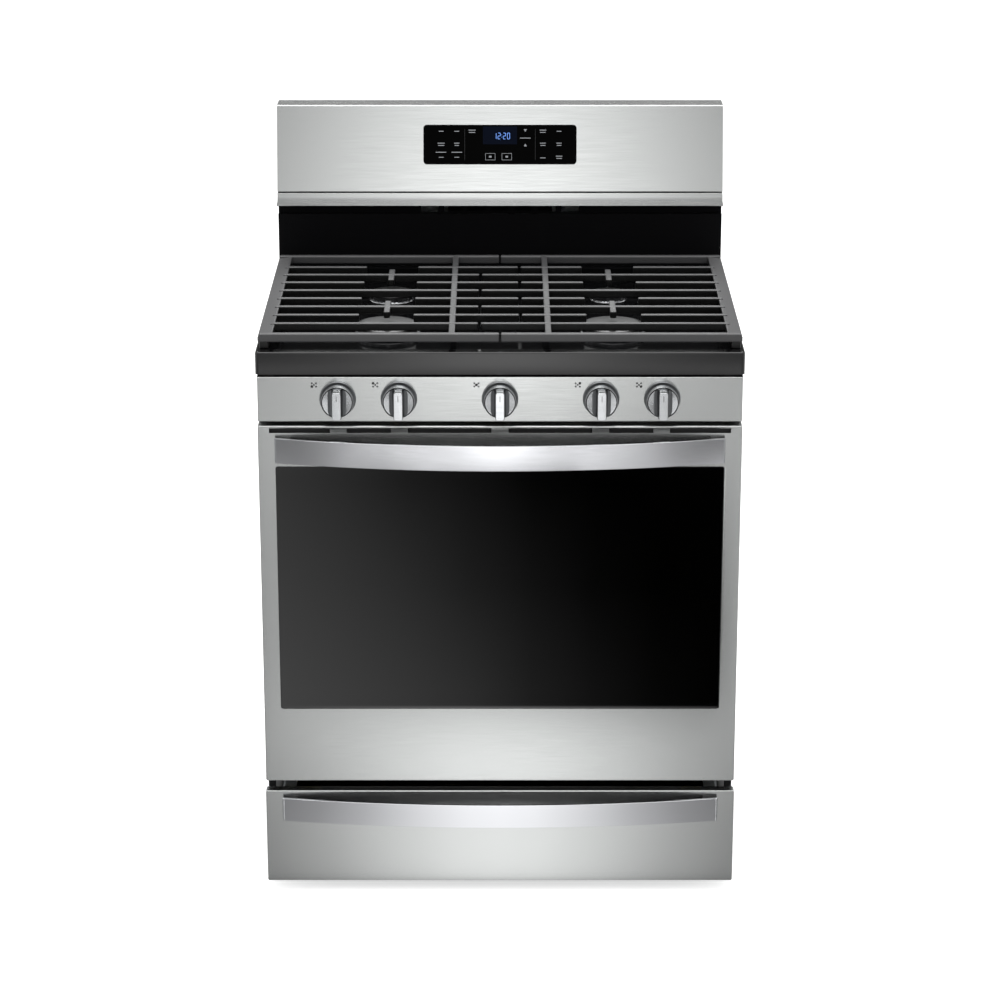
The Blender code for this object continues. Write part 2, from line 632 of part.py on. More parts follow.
def make_hinge(side, word):
    """A bracket on the front frame that reaches into the door, with the pin that the door turns on."""
    depth, z = DOOR_PIVOT
    bracket = box(f"door_hinge_{word}", sorted((side * 0.360, side * 0.366)), (depth - 0.008, 0.0437),
                  (z - 0.009, z + 0.009), GALVANISED)
    foot = box(f"hinge_foot_{word}", sorted((side * 0.3575, side * 0.3685)), (0.0407, 0.0435),
               (z - 0.0085, z + 0.024), GALVANISED, CUTTERS)
    boolean(bracket, foot, "UNION")
    pin = turned(f"hinge_pin_{word}", [(0, 0.0150), (0.0040, 0.0150), (0.0040, -0.0150), (0, -0.0150)],
                 GALVANISED, point(side * 0.3605, depth, z), group=CUTTERS)
    pin.rotation_euler.y = math.pi / 2
    boolean(bracket, pin, "UNION")


def make_drawer():
    tray("drawer_front", (-DRAWER_HALF, DRAWER_HALF), (0, 0.0180), DRAWER_Z, [(0, 1, 0)], STAINLESS)
    tray("drawer_box", (-0.335, 0.335), (0.0183, 0.500), (0.052, 0.150), [(0, 0, 1)], BLACK_ENAMEL)
    bowed_handle("drawer_handle", (0.131, 0.170), 0.029)
    hold("drawer_axis", point(0, 0, (DRAWER_Z[0] + DRAWER_Z[1]) / 2),
         ["drawer_front", "drawer_box", "drawer_handle"])


def make_supply():
    """The gas regulator behind the drawer, and the bush where the power lead would come out."""
    place = point(REGULATOR_X, PIPE_DEPTH, REGULATOR_Z)
    body = turned("gas_regulator", [(0, 0.045), (0.022, 0.045), (0.032, 0.038), (0.032, 0.026),
                                    (0.020, 0.020), (0.020, -0.020), (0, -0.020)], BRASS, place)
    inlet = turned("inlet", [(0, 0.060), (0.011, 0.060), (0.011, 0.0), (0, 0.0)],
                   BRASS, place - Vector((0, 0, 0.002)), group=CUTTERS)
    inlet.rotation_euler.x = -math.pi / 2
    boolean(body, inlet, "UNION")
    outlet = turned("outlet", [(0, 0.032), (0.012, 0.032), (0.012, 0.0), (0, 0.0)],
                    BRASS, place, group=CUTTERS)
    outlet.rotation_euler.y = math.pi / 2
    boolean(body, outlet, "UNION")
    flange = 0.0009
    bush = [(0.0060, 0.0090), (0.0100, 0.0090), (0.0100, 0.0), (0.0140, 0.0), (0.0140, -flange),
            (0.0060, -flange), (0.0060, 0.0090)]
    turned("power_inlet", bush, RUBBER, point(POWER_PLACE[0], REAR - flange, POWER_PLACE[1]),
           facing_front=True)


make_body()
make_oven()
make_cooktop()
make_burners()
make_grate("left", -1)
make_grate("right", 1)
make_controls()
make_backguard()
make_door()
make_drawer()
make_supply()
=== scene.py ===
"""Freestanding gas range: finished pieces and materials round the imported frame.

Metres, +Z up, the front towards -Y. Depths are measured back from the front of the cooktop's band.
"""

import math

import bmesh
import bpy
from mathutils import Matrix, Vector


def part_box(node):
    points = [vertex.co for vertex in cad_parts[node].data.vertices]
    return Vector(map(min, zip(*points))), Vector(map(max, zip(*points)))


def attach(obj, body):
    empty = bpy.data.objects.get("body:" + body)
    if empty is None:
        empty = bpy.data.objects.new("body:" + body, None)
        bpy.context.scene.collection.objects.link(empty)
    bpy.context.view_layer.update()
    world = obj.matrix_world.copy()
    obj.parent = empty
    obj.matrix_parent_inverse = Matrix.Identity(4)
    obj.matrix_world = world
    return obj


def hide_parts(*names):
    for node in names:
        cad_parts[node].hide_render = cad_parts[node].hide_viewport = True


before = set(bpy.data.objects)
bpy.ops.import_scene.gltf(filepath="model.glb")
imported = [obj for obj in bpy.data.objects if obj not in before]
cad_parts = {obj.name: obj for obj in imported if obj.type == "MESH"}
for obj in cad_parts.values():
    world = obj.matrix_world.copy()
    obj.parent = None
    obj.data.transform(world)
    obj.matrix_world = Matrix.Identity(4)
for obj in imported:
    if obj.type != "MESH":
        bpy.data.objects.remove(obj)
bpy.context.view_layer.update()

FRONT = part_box("cooktop")[0].y        # front face of the cooktop's band
KNOBS = ("left_front", "left_rear", "centre", "right_rear", "right_front")
BURNERS = ("front_left", "front_right", "rear_left", "rear_right")
SIDES = (("left", -1), ("right", 1))
BRUSH_UV = "brush"                    # UV map whose U runs across the brushing


# ---------------------------------------------------------------- camera and studio

CAMERA_DISTANCE = 4.676               # in front of the band
CAMERA_HEIGHT = 2.212
LOOK_DOWN = 18.21                     # degrees


def add_object(name, data):
    made = bpy.data.objects.new(name, data)
    bpy.context.scene.collection.objects.link(made)
    return made


def make_camera():
    """A long lens, looking down at the range from straight in front."""
    data = bpy.data.cameras.new("camera")
    data.sensor_width = 36.0
    data.lens = 112.95
    camera = add_object("camera", data)
    camera.location = (0, FRONT - CAMERA_DISTANCE, CAMERA_HEIGHT)
    camera.rotation_euler = (math.radians(90 - LOOK_DOWN), 0, 0)
    bpy.context.scene.camera = camera


def softbox(name, place, aim, size, power):
    data = bpy.data.lights.new(name, "AREA")
    data.shape = "RECTANGLE"
    data.size, data.size_y = size
    data.energy = power
    light = add_object(name, data)
    light.location = place
    light.rotation_euler = (Vector(aim) - Vector(place)).to_track_quat("-Z", "Y").to_euler()
    light.visible_camera = False


# Brightness of the reflectors in front: the steel is bright down its middle and falls off to its sides.
# Each row is a distance in front, the half width at which it has fallen by half, and its middle's brightness.
FALL_ROWS = ((0.0, 0.27, 0.25), (0.03, 0.27, 1.15), (0.10, 0.28, 1.25), (0.35, 0.30, 1.28),
             (0.50, 0.33, 1.45), (0.75, 0.38, 1.75), (2.25, 1.00, 1.75), (2.58, 1.00, 1.75),
             (2.62, 0.28, 2.50), (3.0, 0.28, 2.5), (3.6, 0.32, 2.3), (3.7, 0.50, 1.80))
# How a row falls off, by half widths from the middle; the bowed handles' row holds up longer, then drops.
STEEL_FALL = ((0.0, 0.25, 0.6, 1.0, 1.35, 1.7, 2.2), (1.0, 0.95, 0.74, 0.46, 0.29, 0.20, 0.14))
HANDLE_FALL = ((0.0, 0.25, 0.63, 1.07, 1.31, 1.46, 1.6), (1.0, 0.96, 0.89, 0.52, 0.25, 0.20, 0.13))
# Across the window the soft light fades from left to right; columns are places across the window.
FADE_PLACES = (-0.36, -0.25, -0.15, -0.05, 0.05, 0.15, 0.25, 0.36)
FADE_ROWS = ((0.85, (0.65, 0.53, 0.42, 0.295, 0.141, 0.061, 0.015, 0.0)),
             (1.44, (0.51, 0.39, 0.27, 0.141, 0.061, 0.015, 0.0, 0.0)),
             (2.15, (0.40, 0.26, 0.134, 0.063, 0.012, 0.0, 0.0, 0.0)))
HANDLE_ROWS = (2.25, 2.60)            # distances that the bowed handles pick up
WINDOW_ROWS = (0.77, 2.31)            # distances that the window picks up
WINDOW_EDGE = (0.360, 0.385)
BESIDE_WINDOW = (0.35, 0.66)          # what the door's two borders pick up, left and right
FADE_OUT = (0.8, 1.07, 1.31, 1.46, 1.8)


def between(x, xs, values):
    """Straight-line interpolation, held at the ends."""
    if x <= xs[0]:
        return values[0]
    for i in range(1, len(xs)):
        if x <= xs[i]:
            share = (x - xs[i - 1]) / (xs[i] - xs[i - 1])
            return values[i - 1] * (1 - share) + values[i] * share
    return values[-1]


def fall_off(x, distance):
    """Brightness of the reflector at a place across and a distance in front."""
    rows = [row[0] for row in FALL_ROWS]
    width = between(distance, rows, [row[1] for row in FALL_ROWS])
    peak = between(distance, rows, [row[2] for row in FALL_ROWS])
    on_handle = HANDLE_ROWS[0] < distance < HANDLE_ROWS[1]
    return peak * between(abs(x) / width, *(HANDLE_FALL if on_handle else STEEL_FALL))


def front_brightness(x, distance):
    """The steel's fall-off, with the window's own fade let into it."""
    place = x / (1 + distance / CAMERA_DISTANCE)
    if not WINDOW_ROWS[0] < distance < WINDOW_ROWS[1]:
        return fall_off(x, distance)
    rows = [between(place, FADE_PLACES, values) for _, values in FADE_ROWS]
    fade = between(distance, [row[0] for row in FADE_ROWS], rows)
    edge = between(abs(place), WINDOW_EDGE, (0.0, 1.0))
    beside = BESIDE_WINDOW[x >= 0]
    if distance > 2.0:
        beside = between(abs(x), FADE_OUT, (beside, 0.60, 0.30, 0.22, 0.12))
    return fade * (1 - edge) + beside * edge


def glowing_card(name, bm, brightness):
    """A card that only reflections see, with its brightness set corner by corner."""
    layer = bm.loops.layers.float_color.new("glow")
    for face in bm.faces:
        for loop in face.loops:
            value = brightness(loop.vert.co)
            loop[layer] = (value, value, value, 1.0)
    mesh = bpy.data.meshes.new(name)
    bm.to_mesh(mesh)
    bm.free()
    material = bpy.data.materials.new(name)
    material.use_nodes = True
    tree = material.node_tree
    tree.nodes.clear()
    glow = add_node(tree, "ShaderNodeAttribute", attribute_name="glow").outputs["Color"]
    light = add_node(tree, "ShaderNodeEmission", {"Color": glow})
    add_node(tree, "ShaderNodeOutputMaterial", {"Surface": light.outputs["Emission"]})
    mesh.materials.append(material)
    card = add_object(name, mesh)
    card.visible_camera = False
    card.visible_diffuse = False
    card.visible_transmission = False
    card.visible_shadow = False


def reflector(name, place, across, along, cells, brightness):
    """A flat card between a corner and its two sides."""
    bm = bmesh.new()
    bmesh.ops.create_grid(bm, x_segments=cells[0], y_segments=cells[1], size=0.5)
    for vert in bm.verts:
        vert.co = Vector(place) + Vector(across) * (vert.co.x + 0.5) + Vector(along) * (vert.co.y + 0.5)
    glowing_card(name, bm, brightness)


REACH = 3.6                           # how far the floor's reflector runs out in front
WALL_ROW = 3.7                        # the row of FALL_ROWS that the upright reflector takes
SPREAD = 2.4                          # half the width of both
WALL_HEIGHT = 5.0
WALL_BY_HEIGHT = ((0.6, 1.4, 2.1, 2.45, 2.8, 5.0), (1.0, 1.35, 1.35, 0.88, 0.40, 0.20))
WALL_NARROWING = ((0.6, 1.4), (1.5, 1.0))
BACK_WALL = 8.0                       # how far behind the range the dark backdrop stands
BACK_TOP = 2.95                       # where it turns from grey to black
DOME = 30.0                           # radius of the walls far off
DOME_BY_HEIGHT = ((0.1, 0.5, 1.0), (0.62, 0.85, 1.0))
DOME_SIDES = ((0.78, 0.84), (0.0, 1.1))


def dome_brightness(co):
    """Even walls, brighter overhead and to both sides behind."""
    glow = between(co.z / DOME, *DOME_BY_HEIGHT)
    return glow + (between(abs(co.x) / DOME, *DOME_SIDES) if co.y > 3 else 0.0)


def wall_brightness(co):
    across = co.x * between(co.z, *WALL_NARROWING)
    return fall_off(across, WALL_ROW) * between(co.z, *WALL_BY_HEIGHT)


def make_studio():
    scene = bpy.context.scene
    scene.view_settings.view_transform = "Standard"
    world = bpy.data.worlds.new("studio")
    world.use_nodes = True
    world.node_tree.nodes["Background"].inputs["Color"].default_value = (1, 1, 1, 1)
    world.node_tree.nodes["Background"].inputs["Strength"].default_value = 1.0
    scene.world = world
    bm = bmesh.new()
    bmesh.ops.create_grid(bm, x_segments=1, y_segments=1, size=40.0)
    mesh = bpy.data.meshes.new("floor")
    bm.to_mesh(mesh)
    bm.free()
    mesh.materials.append(floor_paint("white_studio_floor", "#f2f2f2", 0.62))
    floor = add_object("floor", mesh)
    floor.visible_glossy = False
    softbox("top_softbox", (0, -1.0, 3.4), (0, 0, 0.8), (2.4, 1.6), 30)
    softbox("back_softbox", (0, 2.2, 3.4), (0, 0, 0.9), (2.4, 1.0), 60)
    start = FRONT - 0.02
    across = (2 * SPREAD, 0, 0)
    reflector("floor_reflector", (-SPREAD, start, 0.003), across, (0, -REACH, 0), (320, 240),
              lambda co: front_brightness(co.x, start - co.y))
    dome = bmesh.new()
    bmesh.ops.create_icosphere(dome, subdivisions=4, radius=DOME)
    glowing_card("studio_walls", dome, dome_brightness)
    reflector("back_flag", (-4.0, BACK_WALL, 0.0), (8.0, 0, 0), (0, 0, 7.0), (2, 70),
              lambda co: 0.185 if co.z < BACK_TOP else 0.03)
    reflector("front_reflector", (-SPREAD, FRONT - REACH, 0.0), across, (0, 0, WALL_HEIGHT), (120, 100),
              wall_brightness)


# ---------------------------------------------------------------- materials

def colour(text):
    """Linear RGBA of an sRGB hex colour."""
    values = [int(text[i:i + 2], 16) / 255 for i in (1, 3, 5)]
    return (*[v / 12.92 if v <= 0.04045 else ((v + 0.055) / 1.055) ** 2.4 for v in values], 1.0)


def add_node(tree, kind, inputs=None, **settings):
    """Adds a node; each input is given a value or another node's output."""
    made = tree.nodes.new(kind)
    for name, value in settings.items():
        setattr(made, name, value)
    for name, value in (inputs or {}).items():
        if isinstance(value, bpy.types.NodeSocket):
            tree.links.new(value, made.inputs[name])
        else:
            made.inputs[name].default_value = value
    return made


def start_material(name, base, roughness, metallic=0.0, **sockets):
    material = bpy.data.materials.new(name)
    material.use_nodes = True
    tree = material.node_tree
    shader = tree.nodes["Principled BSDF"]
    shader.inputs["Base Color"].default_value = colour(base)
    shader.inputs["Roughness"].default_value = roughness
    shader.inputs["Metallic"].default_value = metallic
    for socket, value in sockets.items():
        shader.inputs[socket.replace("_", " ")].default_value = value
    return material, tree, shader


def grained(name, base, roughness, cell_mm, metallic=0.0, detail=2.0, swing=0.0, light=None,
            relief_mm=0.0, relief=0.0, brushed=False, **sockets):
    """A finish whose colour, gloss and relief all follow one grain, its cells sized in millimetres."""
    material, tree, shader = start_material(name, base, roughness, metallic, **sockets)
    place = add_node(tree, "ShaderNodeTexCoord").outputs["Object"]
    scale = [1000 / mm for mm in cell_mm]
    cells = add_node(tree, "ShaderNodeMapping", {"Vector": place, "Scale": scale}).outputs["Vector"]
    noise = {"Vector": cells, "Scale": 1.0, "Detail": detail}
    grain = add_node(tree, "ShaderNodeTexNoise", noise).outputs["Fac"]
    if light:
        share = add_node(tree, "ShaderNodeMapRange", {"Value": grain, "From Min": 0.3, "From Max": 0.7})
        colours = {"Factor": share.outputs["Result"], "A": colour(base), "B": colour(light)}
        mix = add_node(tree, "ShaderNodeMix", colours, data_type="RGBA")
        tree.links.new(mix.outputs["Result"], shader.inputs["Base Color"])
    if swing:
        limits = {"Value": grain, "From Min": 0.3, "From Max": 0.7, "To Min": roughness - swing,
                  "To Max": roughness + swing}
        gloss = add_node(tree, "ShaderNodeMapRange", limits)
        tree.links.new(gloss.outputs["Result"], shader.inputs["Roughness"])
    if relief:
        skin = {"Height": grain, "Strength": relief, "Distance": relief_mm / 1000}
        bump = add_node(tree, "ShaderNodeBump", skin)
        tree.links.new(bump.outputs["Normal"], shader.inputs["Normal"])
    if brushed:
        tangent = add_node(tree, "ShaderNodeTangent", direction_type="UV_MAP", uv_map=BRUSH_UV)
        tree.links.new(tangent.outputs["Tangent"], shader.inputs["Tangent"])
    return material


def speckled_enamel(name, base, fleck):
    """Oven-cavity enamel: a dark ground coat with pale flecks 5 mm apart and an orange peel of 3 mm."""
    material, tree, shader = start_material(name, base, 0.32, IOR=1.5)
    place = add_node(tree, "ShaderNodeTexCoord").outputs["Object"]
    flecks = add_node(tree, "ShaderNodeTexVoronoi", {"Vector": place, "Scale": 200.0}).outputs["Distance"]
    mask = add_node(tree, "ShaderNodeMapRange", {"Value": flecks, "From Min": 0.12, "From Max": 0.17,
                                                 "To Min": 1.0, "To Max": 0.0}).outputs["Result"]
    mix = add_node(tree, "ShaderNodeMix", {"Factor": mask, "A": colour(base), "B": colour(fleck)},
                   data_type="RGBA")
    tree.links.new(mix.outputs["Result"], shader.inputs["Base Color"])
    peel = add_node(tree, "ShaderNodeTexNoise", {"Vector": place, "Scale": 330.0}).outputs["Fac"]
    bump = add_node(tree, "ShaderNodeBump", {"Height": peel, "Strength": 0.4, "Distance": 0.00003})
    tree.links.new(bump.outputs["Normal"], shader.inputs["Normal"])
    return material


def galvanised(name, base, light):
    """Hot-dip galvanised sheet: zinc crystals about 9 mm across, each with its own sheen."""
    material, tree, shader = start_material(name, base, 0.45, 0.9)
    place = add_node(tree, "ShaderNodeTexCoord").outputs["Object"]
    crystals = add_node(tree, "ShaderNodeTexVoronoi", {"Vector": place, "Scale": 111.0}).outputs["Color"]
    value = add_node(tree, "ShaderNodeSeparateColor", {"Color": crystals}).outputs["Red"]
    mix = add_node(tree, "ShaderNodeMix", {"Factor": value, "A": colour(base), "B": colour(light)},
                   data_type="RGBA")
    tree.links.new(mix.outputs["Result"], shader.inputs["Base Color"])
    gloss = add_node(tree, "ShaderNodeMapRange", {"Value": value, "To Min": 0.35, "To Max": 0.55})
    tree.links.new(gloss.outputs["Result"], shader.inputs["Roughness"])
    return material


def floor_paint(name, base, lift):
    """Matt white studio floor, lit a little from within so that it blends into the white beyond."""
    material, tree, shader = start_material(name, base, 0.7, Specular_IOR_Level=0.0)
    shader.inputs["Emission Color"].default_value = colour(base)
    shader.inputs["Emission Strength"].default_value = lift
    return material


def glowing(name, base, light, strength):
    """Lit segments of a vacuum-fluorescent clock: an even glow with the phosphor's fine grain."""
    material, tree, shader = start_material(name, base, 0.4)
    place = add_node(tree, "ShaderNodeTexCoord").outputs["Object"]
    phosphor = add_node(tree, "ShaderNodeTexNoise", {"Vector": place, "Scale": 2500.0}).outputs["Fac"]
    mix = add_node(tree, "ShaderNodeMix", {"Factor": phosphor, "A": colour(base), "B": colour(light)},
                   data_type="RGBA")
    tree.links.new(mix.outputs["Result"], shader.inputs["Emission Color"])
    shader.inputs["Emission Strength"].default_value = strength
    return material


# What several finishes share: the grain's size in millimetres and how far it stands out.
BLASTED = {"cell_mm": (0.8, 0.8, 0.8), "metallic": 1.0, "swing": 0.05, "relief_mm": 0.01, "relief": 0.2}
ORANGE_PEEL = {"cell_mm": (4, 4, 4), "relief_mm": 0.02, "relief": 0.2}
SAND_CAST = {"cell_mm": (1.2, 1.2, 1.2), "detail": 4.0, "swing": 0.06, "relief_mm": 0.04, "relief": 0.5}
FLOATED = {"cell_mm": (180, 180, 180), "detail": 1.0, "relief_mm": 0.05, "relief": 0.05}
MOULDED = {"cell_mm": (0.8, 0.8, 0.8), "relief_mm": 0.04, "relief": 0.5}
MESH_PRINTED = {"cell_mm": (0.6, 0.6, 0.6)}

# Cold-rolled sheet, belt-brushed from side to side: streaks that smear reflections up and down.
# Real grain is about 0.1 mm apart; it is drawn 1.2 mm apart so that it shows.
STEEL = grained("brushed_stainless_sheet", "#cfd1d0", 0.24, (60, 1.2, 1.2), 1.0, 3.0, 0.03,
                relief_mm=0.01, relief=0.07, brushed=True, Anisotropic=0.5)
# Buffed bar: nearly a mirror, with a faint buffing haze.
POLISHED = grained("polished_stainless_bar", "#dadbde", 0.12, (90, 3, 3), 1.0, 2.0, 0.008)
# Turned on a lathe: fine rings that draw highlights out from the middle.
KNOB_STEEL = grained("spun_knob_steel", "#c4c6c8", 0.26, (2, 2, 2), 1.0, 2.0, 0.02, brushed=True,
                     Anisotropic=0.6)
# Zinc casting, satin-plated: soft highlights with faint marks along the grip.
KNOB_CHROME = grained("satin_plated_grip", "#cfd1d3", 0.18, (90, 3, 3), 1.0, 2.0, 0.02)
# Bead-blasted before plating: soft and without clear reflections. The darker colour is painted shade in the
# knobs' hollows, on the grips' flanks and on the oval burner's base, and partly painted shade on the bezel
# rings.
SHADE_DARKENED_STEEL = grained("blasted_steel_painted_shade", "#707274", 0.30, **BLASTED)
BEZEL_STEEL_PARTLY_SHADED = grained("blasted_bezel_ring_partly_painted_shade", "#848688", 0.38, **BLASTED)
# Vitreous enamel fired on steel: deep gloss with a slight orange peel 4 mm across.
ENAMEL = grained("black_porcelain_enamel", "#0b0b0c", 0.16, IOR=1.6, **ORANGE_PEEL)
# Baked paint on the sides and matt enamel on the caps: the same peel, with a wider, duller shine.
SIDE_ENAMEL = grained("black_baked_side_enamel", "#111112", 0.30, IOR=1.45, **ORANGE_PEEL)
CAP_ENAMEL = grained("matt_black_cap_enamel", "#131314", 0.38, IOR=1.6, **ORANGE_PEEL)
# A second coat in the well and on the riser, so dark that hardly a reflection shows.
WELL_ENAMEL = grained("matt_well_enamel", "#0b0b0c", 0.12, (4, 4, 4), relief_mm=0.02, relief=0.1,
                      Specular_IOR_Level=0.015)
CAVITY = speckled_enamel("speckled_cavity_enamel", "#1d222c", "#7f8794")
# Sand-cast and enamelled: the mould's pebbly skin shows, 1.2 mm across. The lighter grey on top is painted
# light from above, and the lighter front faces of the rails are a painted reflection of the bright floor in
# front.
IRON = grained("enamelled_cast_iron", "#040404", 0.32, light="#080808", **SAND_CAST)
TOP_LIT_IRON = grained("cast_iron_painted_top_light", "#474748", 0.42, light="#525253", **SAND_CAST)
RAIL_FRONT_REFLECTION_IRON = grained("cast_iron_rail_face_painted_reflection", "#333334", 0.38, light="#3b3b3c", **SAND_CAST)
# Die-cast: a tight skin that glints where the flame ports are cut.
ALUMINIUM = grained("die_cast_aluminium", "#b2b3b5", 0.18, (0.9, 0.9, 0.9), 1.0, 4.0, 0.06, "#c6c7c9",
                    0.02, 0.5)
# Float glass: flat, with a slow ripple 180 mm long; black-backed and mirror-like on the door,
# etched against glare on the touch panel, thin and tinted inside the door.
BLACK_GLASS = grained("black_backed_float_glass", "#010101", 0.02, IOR=1.8, **FLOATED)
TOUCH_GLASS = grained("anti_glare_touch_glass", "#010101", 0.25, Specular_IOR_Level=0.02, **FLOATED)
INNER_GLASS = grained("tinted_inner_glass", "#0b0c0e", 0.04, **FLOATED)
# A blue filter over the clock, with the fine tooth of its backing.
CLOCK_FILTER = grained("clock_filter_glass", "#050914", 0.2, (0.4, 0.4, 0.4), 0.0, 1.0, light="#070c1a",
                       Specular_IOR_Level=0.02)
# Zinc-dipped sheet: a patchwork of pale grey crystals.
ZINC = galvanised("galvanised_sheet", "#9a9ea1", "#b9bdbf")
# Drawn wire, nickel-plated: bright, with lengthways drawing marks.
CHROME = grained("nickel_plated_wire", "#c9c9ca", 0.16, (3, 90, 3), 1.0, 2.0, 0.02)
# Cut on a lathe and left bare: warm, with short tool marks.
BRASS = grained("machined_brass", "#b08d4a", 0.32, (2, 2, 2), 1.0, 4.0, 0.06, "#c5a562", 0.02, 0.6)
# Moulded nylon and pressed ceramic: an even texture 0.8 mm across that takes the shine off.
# The black nylon also blackens each knob's groove as painted shade.
BLACK_NYLON_AND_SHADE = grained("black_nylon_and_painted_shade", "#0e0e0f", 0.55, **MOULDED)
CERAMIC = grained("igniter_ceramic", "#e6e0d2", 0.4, **MOULDED)
# Braided glass fibre: matt, with bundles 1.5 mm across.
WOVEN = grained("woven_glass_fibre_gasket", "#333331", 0.9, (1.5, 1.5, 1.5), light="#45453f",
                relief_mm=0.3, relief=0.6)
# Mineral-wool blanket: matted fibres lying mostly across.
WOOL = grained("needled_mineral_wool", "#a89654", 0.95, (14, 3, 6), 0.0, 6.0, light="#dccf98",
               relief_mm=2.0, relief=0.8)
# Screen-printed ink: flat, with the mesh's fine unevenness.
PRINT = grained("grey_screen_print", "#85888c", 0.6, light="#95989c", **MESH_PRINTED)
FAINT_PRINT = grained("faint_screen_print", "#28292b", 0.6, light="#303133", **MESH_PRINTED)
DARK_PRINT = grained("black_screen_print", "#101010", 0.5, light="#1a1a1a", **MESH_PRINTED)
DIGITS = glowing("blue_clock_segments", "#6594ea", "#79a6f6", 0.6)
# Heat-darkened bare steel: a dull brown-black scale with a slight shine.
# It also serves as painted shade: the dark lining behind the handle straps and the dark crosses in the screw
# heads.
OXIDE_AND_SHADE_STEEL = grained("dark_oxidised_steel_and_painted_shade", "#2a2a2b", 0.45, (90, 3, 3), 1.0, 2.0, 0.03)


# ---------------------------------------------------------------- shaping

SAME = 1e-5                           # places closer than this are one place
SHEET = 0.0010                        # gauge of the folded stainless panels


def run(edge, axis=2):
    """How far an edge runs along one axis, up if none is given."""
    return abs(edge.verts[0].co[axis] - edge.verts[1].co[axis])


def lies_at(edge, axis, value):
    """Whether both ends of an edge are at one place along an axis."""
    return all(abs(v.co[axis] - value) < SAME for v in edge.verts)


def block(low, high, radius=0.0, segments=3):
    """A box between two corners, with all its edges rounded."""
    low, high = Vector(low), Vector(high)
    bm = bmesh.new()
    place = Matrix.Translation((low + high) / 2) @ Matrix.Diagonal((high - low).to_4d())
    bmesh.ops.create_cube(bm, size=1.0, matrix=place)
    if radius:
        round_edges(bm, bm.edges[:], radius, segments)
    return bm


def round_edges(bm, edges, radius, segments=3):
    bmesh.ops.bevel(bm, geom=edges, offset=radius, offset_type="OFFSET", segments=segments, profile=0.5,
                    affect="EDGES", material=-1, clamp_overlap=True)


def joined(parts):
    """One bmesh holding all the parts."""
    whole = bmesh.new()
    for part in parts:
        mesh = bpy.data.meshes.new("part")
        part.to_mesh(mesh)
        part.free()
        whole.from_mesh(mesh)
        bpy.data.meshes.remove(mesh)
    return whole


def moved(bm, matrix):
    bmesh.ops.transform(bm, matrix=matrix, verts=bm.verts)
    return bm


def painted(bm, index):
    """Gives all of a part's faces one of its piece's materials."""
    for face in bm.faces:
        face.material_index = index
    return bm


def softened(corners, segments=4):
    """An outline of (a, b, radius) corners, each one with a radius turned into an arc."""
    path = []
    last = len(corners) - 1
    for i, (a, b, radius) in enumerate(corners):
        here = Vector((a, b))
        if not radius or i in (0, last):
            path.append(here)
            continue
        before = (Vector(corners[i - 1][:2]) - here).normalized()
        after = (Vector(corners[i + 1][:2]) - here).normalized()
        half = before.angle(after) / 2
        centre = here + (before + after).normalized() * (radius / math.sin(half))
        start = here + before * (radius / math.tan(half)) - centre
        end = here + after * (radius / math.tan(half)) - centre
        for step in range(segments + 1):
            share = step / segments
            path.append(centre + (start * (1 - share) + end * share).normalized() * radius)
    return path


def turned(corners, steps=64, segments=4):
    """A (radius, height, corner radius) profile spun about Z."""
    bm = bmesh.new()
    verts = [bm.verts.new((p.x, 0, p.y)) for p in softened(corners, segments)]
    edges = [bm.edges.new(pair) for pair in zip(verts, verts[1:])]
    bmesh.ops.spin(bm, geom=verts + edges, cent=(0, 0, 0), axis=(0, 0, 1), angle=2 * math.pi,
                   steps=steps, use_merge=True)
    bmesh.ops.remove_doubles(bm, verts=bm.verts, dist=1e-6)
    bmesh.ops.recalc_face_normals(bm, faces=bm.faces)
    return bm


def draw_out(bm, verts, reach, closed=False):
    """Draws the outline through some vertices out along a vector."""
    edges = [bm.edges.new(pair) for pair in zip(verts, verts[1:])]
    if closed:
        edges.append(bm.edges.new((verts[-1], verts[0])))
    drawn = bmesh.ops.extrude_edge_only(bm, edges=edges)["geom"]
    far = [g for g in drawn if isinstance(g, bmesh.types.BMVert)]
    bmesh.ops.translate(bm, verts=far, vec=reach)


def opened_up(bm):
    """Turns the faces of a dish or a groove to its open side, up."""
    if sum(f.normal.z * f.calc_area() for f in bm.faces) < 0:
        bmesh.ops.reverse_faces(bm, faces=bm.faces)
    return bm


def drawn_across(corners, x_low, x_high, segments=4, closed=False):
    """A side outline of (y, z, corner radius) drawn out along X, as a sheet or as a closed bar."""
    bm = bmesh.new()
    verts = [bm.verts.new((x_low, p.x, p.y)) for p in softened(corners, segments)]
    draw_out(bm, verts, (x_high - x_low, 0, 0), closed)
    if closed:
        bmesh.ops.holes_fill(bm, edges=bm.edges)
    bmesh.ops.recalc_face_normals(bm, faces=bm.faces)
    return bm


def rod(start, end, radius, sides=12):
    start, end = Vector(start), Vector(end)
    bm = bmesh.new()
    turn = (end - start).to_track_quat("Z", "Y").to_matrix().to_4x4()
    bmesh.ops.create_cone(bm, cap_ends=True, segments=sides, radius1=radius, radius2=radius,
                          depth=(end - start).length, matrix=Matrix.Translation((start + end) / 2) @ turn)
    return bm


def facing_front(x, z, depth=0.0):
    """Places something made along +Z so that it points out of the front, from the given depth."""
    return Matrix.Translation((x, FRONT + depth, z)) @ Matrix.Rotation(math.pi / 2, 4, "X")


